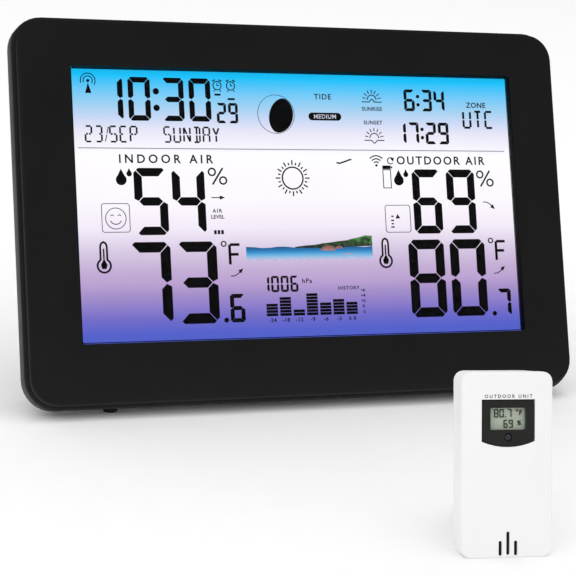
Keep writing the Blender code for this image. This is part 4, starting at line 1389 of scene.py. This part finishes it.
    def build_sky_signs(self) -> None:
        """Moon, tide, sun times and the time zone."""
        sheet, fine = MarkSheet(*self.marks), MarkSheet(*self.marks)
        self.build_moon(sheet, fine)
        pill = [math.radians(a) for a in range(-90, 91, 15)]
        outline = [(9.7 + 4.9 + 1.4 * math.cos(a), 31.5 + 1.4 * math.sin(a)) for a in pill]
        outline += [(9.7 - 4.9 - 1.4 * math.cos(a), 31.5 - 1.4 * math.sin(a)) for a in pill]
        sheet.outline(outline)
        draw_half_sun(sheet, 28.3, 37.9, 1)
        draw_half_sun(sheet, 28.5, 23.9, -1)
        times = SegmentDigits(height=8.0, width=4.2, bar=1.1, pitch=5.1, gap=0.08)
        times.write(sheet, "6:34", 41.1, 34.0)
        times.write(sheet, "17:29", 37.0, 21.9)
        SegmentLetters(height=6.8, width=3.6, bar=0.8, pitch=4.5).write(sheet, "UTC", 64.3, 27.8)
        self.hand_in_sheet(sheet, "sky_marks", Stock.INK.value)

        fine.words("TIDE", 9.2, 38.7, 1.9, spread=1.2)
        fine.words("SUNRISE", 28.2, 34.6, 1.35, spread=1.1)
        fine.words("SUNSET", 28.3, 29.6, 1.35, spread=1.1)
        fine.words("ZONE", 70.1, 36.6, 1.9, spread=1.1)
        self.hand_in_sheet(fine, "sky_captions", Stock.FINE_INK.value)

        pale = MarkSheet(self.marks[0] - 0.015, self.marks[0] - 0.005)
        pale.words("MEDIUM", 9.7, 31.5, 1.5, spread=1.1)
        self.hand_in_sheet(pale, "tide_level_mark", Stock.PALE_INK.value)

        ruling = MarkSheet(*self.marks)
        ruling.box(-0.3, 19.5, 161.8, 0.28)
        self.hand_in_sheet(ruling, "display_ruling", Stock.LINE_INK.value)

    def build_readings(self) -> None:
        """The indoor and outdoor columns."""
        for reading in self.readings:
            sheet, fine = MarkSheet(*self.marks), MarkSheet(*self.marks)
            reading.write(sheet, fine)
            self.hand_in_sheet(sheet, f"{reading.name}_marks", Stock.INK.value)
            self.hand_in_sheet(fine, f"{reading.name}_captions", Stock.FINE_INK.value)

    def build_forecast(self) -> None:
        """The sun sign, the pressure trend and the reception signs."""
        sheet = MarkSheet(*self.marks)
        u, v = -3.9, 9.3
        sheet.ring(u, v, 3.9, 0.5, 36)
        sheet.stroke([(13.2, 14.9), (14.4, 14.7), (16.4, 15.3), (18.0, 15.9), (19.0, 16.1)], 0.55)
        draw_waves(sheet, 28.7, 15.9)
        loop = [math.radians(a) for a in range(40, 321, 20)]
        sheet.stroke([(34.3 + 1.15 * math.cos(a), 15.7 + 1.15 * math.sin(a)) for a in loop], 0.34)
        sheet.outline([(34.3, 16.5), (35.7, 16.9), (35.4, 15.4)])
        draw_little_sensor(sheet, 32.6, 9.8)
        pressure = SegmentDigits(height=5.7, width=2.9, bar=0.8, pitch=3.6, gap=0.08)
        pressure.write(sheet, "1006", -17.7, -31.0)
        self.hand_in_sheet(sheet, "forecast_marks", Stock.INK.value)

        fine = MarkSheet(*self.marks)
        fine.words("hPa", -0.6, -27.2, 1.6, spread=1.2)
        fine.words("HISTORY", 15.2, -30.0, 1.2, spread=1.2)
        self.hand_in_sheet(fine, "forecast_captions", Stock.FINE_INK.value)

        tree = ray_ring_tree()
        ink = Stock.INK.value
        rays = bmesh.new()
        for reach, length in ((5.55, 1.7), (5.15, 0.9)):
            inputs = {"Rays": 12, "Radius": reach, "Length": length, "Width": 0.45, "Thickness": 0.14}
            mesh = tree_on_plain_mesh(tree, {**inputs, "Material": ink.material()})
            turn = 0.0 if length > 1 else math.radians(15)
            mesh.transform(Matrix.Rotation(math.pi / 2, 4, "X") @ Matrix.Rotation(turn, 4, "Z"))
            rays.from_mesh(mesh)
        bmesh.ops.translate(rays, vec=(u, sum(self.marks) / 2, v), verts=rays.verts)
        self.hand_in_mesh(rays, "sun_sign_rays", ink)

    def hand_in_mesh(self, bm: bmesh.types.BMesh, name: str, finish: Finish) -> None:
        """Finish a mesh in display millimetres as a piece of the console.

        Args:
            bm: The mesh, which is used up.
            name: The piece's name.
            finish: Its finish.
        """
        mesh = bpy.data.meshes.new(name)
        bm.to_mesh(mesh)
        bm.free()
        mesh.transform(CONSOLE.matrix @ Matrix.Translation((0, 0, self.middle)))
        hand_in(bpy.data.objects.new(name, mesh), finish, Body.CONSOLE.value)

    def build_chart(self) -> None:
        """The striped pressure history with its axis."""
        tree = band_stack_tree()
        ink = Stock.INK.value
        chart = bmesh.new()
        pitch_u, first_u, base = 5.04, -14.2, -38.9
        for index, bands in enumerate(self.bands):
            inputs = {"Bands": bands, "Width": 4.2, "Height": 0.97, "Pitch": 1.12, "Thickness": 0.14}
            mesh = tree_on_plain_mesh(tree, {**inputs, "Material": ink.material()})
            mesh.transform(Matrix.Translation((first_u + pitch_u * index, sum(self.marks) / 2, base)))
            chart.from_mesh(mesh)
        self.hand_in_mesh(chart, "pressure_chart", ink)

        fine = MarkSheet(*self.marks)
        for index, label in enumerate(("-24", "-18", "-12", "-9", "-6", "-3", "h 0")):
            fine.words(label, first_u + pitch_u * index, base - 1.9, 1.35, spread=1.1)
        for index, label in enumerate(("+6", "+4", "+2", "0", "-2")):
            fine.words(label, 20.6, base + 8.0 - 1.9 * index, 1.1)
        self.hand_in_sheet(fine, "chart_captions", ink)

    def scenery_print(self, name: str, stops: tuple[GlowStop, ...], wander: float) -> BacklitPrint:
        """A picture colour that glows on the display.

        Args:
            name: The material's name.
            stops: Its colours from the strip's foot to its top.
            wander: How far small patches stray from the fade.

        Returns:
            The finish.
        """
        low, high = self.strip
        return BacklitPrint(
            name,
            "#08080A",
            0.5,
            "lcd_glass",
            foot=self.place(0.0, low, 2.8),
            height=(high - low) * MM,
            up=tuple(CONSOLE.up),
            stops=stops,
            patch_mm=1.6,
            dimmest=0.85,
            wander=wander,
        )

    def build_scenery(self) -> None:
        """A plain strip of scenery: water, a green headland and rocks."""
        left, right = -22.7, 25.3
        low = self.strip[0]
        water = MarkSheet(*self.pictures)
        steps = 16
        spots = [left + (right - left) * i / steps for i in range(steps + 1)]
        crest = [(u, low + 4.9 + 0.25 * math.sin(u * 0.5)) for u in reversed(spots)]
        water.outline([(left, low), (right, low)] + crest)
        sea = (
            GlowStop(0.0, "#D2C0DF"),
            GlowStop(0.1, "#B5C6E6"),
            GlowStop(0.22, "#76BCE6"),
            GlowStop(0.34, "#4498D2"),
            GlowStop(0.44, "#2C78B4"),
            GlowStop(0.55, "#28608F"),
        )
        self.hand_in_sheet(water, "scenery_water", self.scenery_print("scenery_water_print", sea, 0.02))

        hill = MarkSheet(self.pictures[0] - 0.025, self.pictures[0] - 0.005)
        ridge = [(right, -11.5), (22.6, -11.3), (20.0, -12.0), (18.2, -12.3), (15.4, -13.0), (12.0, -13.3)]
        ridge += [(9.2, -13.7), (6.0, -14.0), (3.1, -14.5), (-0.6, -14.7), (-4.6, -15.2)]
        hill.outline([(-4.0, -15.5), (8.0, -15.7), (16.0, -15.3), (right, -15.1)] + ridge)
        land = (
            GlowStop(0.5, "#2A2F31"),
            GlowStop(0.64, "#3B4A34"),
            GlowStop(0.8, "#2F5A33"),
            GlowStop(1.0, "#57904F"),
        )
        self.hand_in_sheet(hill, "scenery_hill", self.scenery_print("scenery_hill_print", land, 0.3))

        rocks = MarkSheet(self.pictures[0] - 0.05, self.pictures[0] - 0.03)
        places = ((8.2, 3.0, -16.6, 1.9), (12.4, 1.6, -15.9, 1.0), (15.8, 2.4, -18.0, 0.4))
        for middle, half, foot, rise in places:
            top = [(middle + half * 0.6, foot + rise * 0.8), (middle - half * 0.2, foot + rise)]
            top += [(middle - half * 0.8, foot + rise * 0.5)]
            rocks.outline([(middle - half, foot), (middle + half, foot)] + top)
        stone = (GlowStop(0.2, "#D9A9B4"), GlowStop(0.4, "#B07F74"), GlowStop(0.7, "#7A4F42"))
        self.hand_in_sheet(rocks, "scenery_rocks", self.scenery_print("scenery_rock_print", stone, 0.12))


# --- Cases and insides -----------------------------------------------------------------------------


class KeySign(Enum):
    """The raised signs on the rear keys."""

    PLUS = "plus"
    MINUS = "minus"
    BELL = "bell"
    RING = "ring"
    BARS = "bars"
    WAVES = "waves"


@dataclass
class ConsoleCase:
    """The console's mouldings, keys, door, leg, feet and screws."""

    width: float = 205.2
    height: float = 133.4
    # The depths of the painted groove shade's front and back, and then its width, its inset from the case
    # and its corners.
    groove_shade: tuple[float, float] = (2.75, 3.55)
    shade_width: float = 0.9
    shade_inset: float = 2.3
    shade_corner: float = 8.6
    corner_steps: int = 8
    back: float = 28.0
    key_pitch: float = 19.0
    key_height: float = 97.0
    key_proud: float = 0.8
    sign_thickness: float = 0.12
    signs: tuple[KeySign, ...] = tuple(KeySign)

    def build(self) -> None:
        """Dress the case and add the keys' signs."""
        refine("front_frame", Stock.FACE_ABS.value, edge_mm=0.15)
        refine("rear_housing", Stock.CASE_ABS.value)
        refine("battery_door", Stock.CASE_ABS.value, edge_mm=0.12)
        refine("stand_leg", Stock.CASE_ABS.value, edge_mm=0.2)
        refine("snooze_bar", Stock.CASE_ABS.value, edge_mm=0.2)
        for index in range(1, 7):
            refine(f"key_{index}", Stock.CASE_ABS.value)
        for node in ("foot_left", "foot_right", "leg_pad"):
            refine(node, Stock.RUBBER.value, edge_mm=0.25)
        for index in range(1, 5):
            refine(f"case_screw_{index}", Stock.STEEL.value)
        refine("stand_pin", Stock.STEEL.value)
        self.blacken_edges(refine("window_lens", Stock.LENS.value))
        # Painted shade: a near-black sheet in the groove between face plate and band.
        self.build_groove_shade()
        for index, sign in enumerate(self.signs):
            self.build_sign(index, sign)

    def build_groove_shade(self) -> None:
        """A near-black sheet of painted shade at the bottom of the groove between face plate and band."""
        groove_shade, corner = MarkSheet(*self.groove_shade), self.shade_corner
        half_w, half_h = self.width / 2 - self.shade_inset, self.height / 2 - self.shade_inset
        path = []
        for a, b, start in ((1, 1, 0), (-1, 1, 90), (-1, -1, 180), (1, -1, 270)):
            for step in range(self.corner_steps + 1):
                angle = math.radians(start + step * 90 / self.corner_steps)
                u = a * (half_w - corner) + corner * math.cos(angle)
                path.append((u, self.height / 2 + b * (half_h - corner) + corner * math.sin(angle)))
        groove_shade.stroke(path, self.shade_width, closed=True)
        hand_in(groove_shade.finish("groove_painted_shade", CONSOLE), Stock.PAINTED_SHADE.value, Body.CONSOLE.value)

    def blacken_edges(self, lens: bpy.types.Object) -> None:
        """Paint the lens's narrow edges black, so that they don't light up from the display.

        Args:
            lens: The window's moulding.
        """
        lens.data.materials.append(Stock.INK.value.material())
        ahead = (CONSOLE.matrix.to_3x3() @ Vector((0, 1, 0))).normalized()
        for face in lens.data.polygons:
            face.material_index = int(abs(face.normal.dot(ahead)) < 0.5)

    def build_sign(self, index: int, sign: KeySign) -> None:
        """One raised sign on a key.

        Args:
            index: The key, counted from the left seen from the front.
            sign: What it shows.
        """
        face = self.back + self.key_proud
        sheet = MarkSheet(face + 0.02, face + 0.02 + self.sign_thickness)
        u, v = (index - 2.5) * self.key_pitch, self.key_height
        if sign is KeySign.PLUS:
            sheet.box(u, v, 2.6, 0.6)
            sheet.box(u, v + 0.8, 0.6, 1.0)
            sheet.box(u, v - 0.8, 0.6, 1.0)
        elif sign is KeySign.MINUS:
            sheet.box(u, v, 2.6, 0.6)
        elif sign is KeySign.BELL:
            draw_bell(sheet, u, v)
        elif sign is KeySign.RING:
            sheet.ring(u, v, 1.2, 0.45, 20)
        elif sign is KeySign.BARS:
            for offset, tall in ((-1.1, 1.0), (0.0, 1.7), (1.1, 2.4)):
                sheet.box(u + offset, v - 1.2 + tall / 2, 0.6, tall)
        else:
            draw_waves(sheet, u, v)
        hand_in(sheet.finish(f"key_sign_{index + 1}", CONSOLE), Stock.PAD_PRINT.value, f"key_{index + 1}")


@dataclass
class Innards:
    """Everything sealed inside the two cases."""

    finishes: dict[Stock, tuple[str, ...]] = field(
        default_factory=lambda: {
            Stock.GUIDE: ("light_guide",),
            Stock.COLOUR_FILM: ("colour_film",),
            Stock.WHITE_FILM: ("reflector_sheet", "backlight_tray", "led_strip")
            + ("hygro_element", "sensor_element"),
            Stock.POLYIMIDE: ("display_flex",),
            Stock.BOARD: ("main_board", "radio_board", "key_board", "sensor_board"),
            Stock.EPOXY: ("processor_blob", "buzzer", "dc_inlet", "snooze_switch"),
            Stock.FERRITE: ("ferrite_rod",),
            Stock.COPPER: ("antenna_coil", "radio_antenna"),
            Stock.NICKEL: ("cell_spring_1", "cell_spring_2", "cell_spring_3", "contact_strip_left")
            + ("contact_strip_right", "cell_clip"),
            Stock.STEEL: ("sensor_pin", "sensor_cell"),
            Stock.SLEEVE: ("battery_1", "battery_2", "battery_3"),
        }
    )

    def build(self) -> None:
        """Give each inner CAD node its finish."""
        for stock, nodes in self.finishes.items():
            for node in nodes:
                refine(node, stock.value)


@dataclass
class RemoteSensor:
    """The white sensor: shells, window plate, small display, and its moving pieces."""

    display_middle: float = 39.3
    # Each pair is the depths of a sheet's front and back.
    marks: tuple[float, float] = (1.12, 1.24)
    caption: tuple[float, float] = (-0.03, 0.02)
    caption_v: float = 45.7
    # The depths and the width of the near-black sheets of painted shade in the vent slots.
    vent_shade: tuple[float, float] = (0.45, 0.65)
    vent_shade_width: float = 0.96
    # Each vent slot's middle, lower end and upper end.
    slots: tuple[tuple[float, float, float], ...] = ((-2.33, 0.8, 4.8), (0.0, 1.0, 7.4), (2.33, 0.8, 4.8))

    def build(self) -> None:
        """Dress the sensor and write its display."""
        for node in ("sensor_front", "sensor_back", "sensor_leg", "sensor_cap"):
            refine(node, Stock.WHITE_ABS.value, edge_mm=0.15)
        refine("sensor_key", Stock.GREY_ABS.value, edge_mm=0.1)
        refine("sensor_window", Stock.SMOKED.value)
        refine("sensor_lcd", Stock.REFLECTIVE.value)
        refine("sensor_led", Stock.LIGHT_PIPE.value)
        self.build_marks()
        self.build_caption()
        # Painted shade: near-black sheets in the vent slots.
        self.build_vent_shade()

    def build_vent_shade(self) -> None:
        """Near-black sheets a little inside the three vent slots: painted shade, standing in for the shade
        in the slots.
        """
        sheet = MarkSheet(*self.vent_shade)
        for u, low, high in self.slots:
            sheet.box(u, (low + high) / 2, self.vent_shade_width, high - low)
        hand_in(sheet.finish("sensor_vent_painted_shade", SENSOR), Stock.PAINTED_SHADE.value, Body.SENSOR.value)

    def build_marks(self) -> None:
        """Temperature over humidity."""
        sheet = MarkSheet(*self.marks)
        top = SegmentDigits(height=2.3, width=1.3, bar=0.27, pitch=1.65, stop=0.7, gap=0.03)
        top.write(sheet, "80.7", -3.9, 0.35)
        sheet.ring(3.1, 2.3, 0.22, 0.14, 10)
        sheet.words("F", 4.1, 1.7, 1.3)
        low = SegmentDigits(height=2.2, width=1.2, bar=0.26, pitch=1.6, gap=0.03)
        low.write(sheet, "69", -1.0, -2.55)
        sheet.words("%", 3.7, -1.2, 1.2)
        marks = sheet.finish("sensor_marks", SENSOR, self.display_middle)
        hand_in(marks, Stock.SMALL_INK.value, Body.SENSOR.value)

    def build_caption(self) -> None:
        """Two plain printed words above the window."""
        sheet = MarkSheet(*self.caption)
        sheet.words("OUTDOOR UNIT", 0.0, self.caption_v, 0.95, spread=1.5)
        hand_in(sheet.finish("sensor_caption", SENSOR), Stock.SMALL_INK.value, Body.SENSOR.value)


# --- Studio ----------------------------------------------------------------------------------------


@dataclass
class Studio:
    """Pale floor, soft light and the camera."""

    target: tuple[float, float, float] = (-6.9, 53.5, 39.5)
    azimuth: float = -21.65
    elevation: float = 13.8
    roll: float = 4.2
    distance: float = 635.0
    lens: float = 112.7
    film_width: float = 36.0
    floor_size: float = 16.0
    fill: float = 1.06
    mirrored: float = 0.1

    def build(self) -> None:
        """Set up everything around the object."""
        self.build_camera()
        self.build_floor()
        self.build_world()
        self.build_lamps()
        bpy.context.scene.view_settings.view_transform = "Standard"

    def build_camera(self) -> None:
        """The camera looks down at the station from its left."""
        yaw, pitch = math.radians(-self.azimuth), math.radians(self.elevation)
        ahead = Vector((math.sin(yaw) * math.cos(pitch), math.cos(yaw) * math.cos(pitch), -math.sin(pitch)))
        right = Vector((math.cos(yaw), -math.sin(yaw), 0.0))
        right = Matrix.Rotation(-math.radians(self.roll), 3, ahead) @ right
        above = right.cross(ahead)
        data = bpy.data.cameras.new("camera")
        data.lens = self.lens
        data.sensor_width = self.film_width
        data.clip_start = 0.01
        camera = bpy.data.objects.new("camera", data)
        stand = Matrix.Translation((Vector(self.target) - ahead * self.distance) * MM)
        camera.matrix_world = stand @ Matrix((right, above, -ahead)).transposed().to_4x4()
        bpy.context.scene.collection.objects.link(camera)
        bpy.context.scene.camera = camera

    def build_floor(self) -> None:
        """A wide white sheet."""
        bm = bmesh.new()
        bmesh.ops.create_grid(bm, x_segments=1, y_segments=1, size=self.floor_size / 2)
        mesh = bpy.data.meshes.new("floor")
        bm.to_mesh(mesh)
        bm.free()
        floor = bpy.data.objects.new("floor", mesh)
        mesh.materials.append(SheetPlastic("floor_white_paper", "#F7F7F7", 0.9).material())
        bpy.context.scene.collection.objects.link(floor)

    def build_world(self) -> None:
        """White behind everything, a little brighter as light, and much darker in what gloss mirrors."""
        world = bpy.data.worlds.new("studio")
        world.use_nodes = True
        tree = world.node_tree
        tree.nodes.clear()
        path = add_node(tree, "ShaderNodeLightPath")
        seen = add_node(tree, "ShaderNodeBackground", Color=(1, 1, 1, 1), Strength=1.0)
        fill = add_node(tree, "ShaderNodeBackground", Color=(1, 1, 1, 1), Strength=self.fill)
        mirrored = add_node(tree, "ShaderNodeBackground", Color=(1, 1, 1, 1), Strength=self.mirrored)
        links = {0: path.outputs["Is Glossy Ray"], 1: fill.outputs[0], 2: mirrored.outputs[0]}
        unseen = add_node(tree, "ShaderNodeMixShader", links)
        links = {0: path.outputs["Is Camera Ray"], 1: unseen.outputs[0], 2: seen.outputs[0]}
        both = add_node(tree, "ShaderNodeMixShader", links)
        add_node(tree, "ShaderNodeOutputWorld", {"Surface": both.outputs[0]})
        bpy.context.scene.world = world

    def build_lamps(self) -> None:
        """Two large soft boxes: one high on the left, one overhead."""
        for name, place, size, power in (
            ("key_softbox", (-1.3, -1.0, 1.5), 1.2, 4.0),
            ("top_softbox", (0.4, 0.5, 2.2), 1.8, 3.0),
        ):
            data = bpy.data.lights.new(name, "AREA")
            data.energy = power
            data.size = size
            lamp = bpy.data.objects.new(name, data)
            lamp.location = place
            lamp.rotation_euler = (-Vector(place)).to_track_quat("-Z", "Y").to_euler()
            bpy.context.scene.collection.objects.link(lamp)


def main() -> None:
    """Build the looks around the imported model."""
    logging.basicConfig(level=logging.INFO, format="%(message)s")
    Studio().build()
    Display().build()
    ConsoleCase().build()
    Innards().build()
    RemoteSensor().build()


if __name__ == "__main__":
    main()
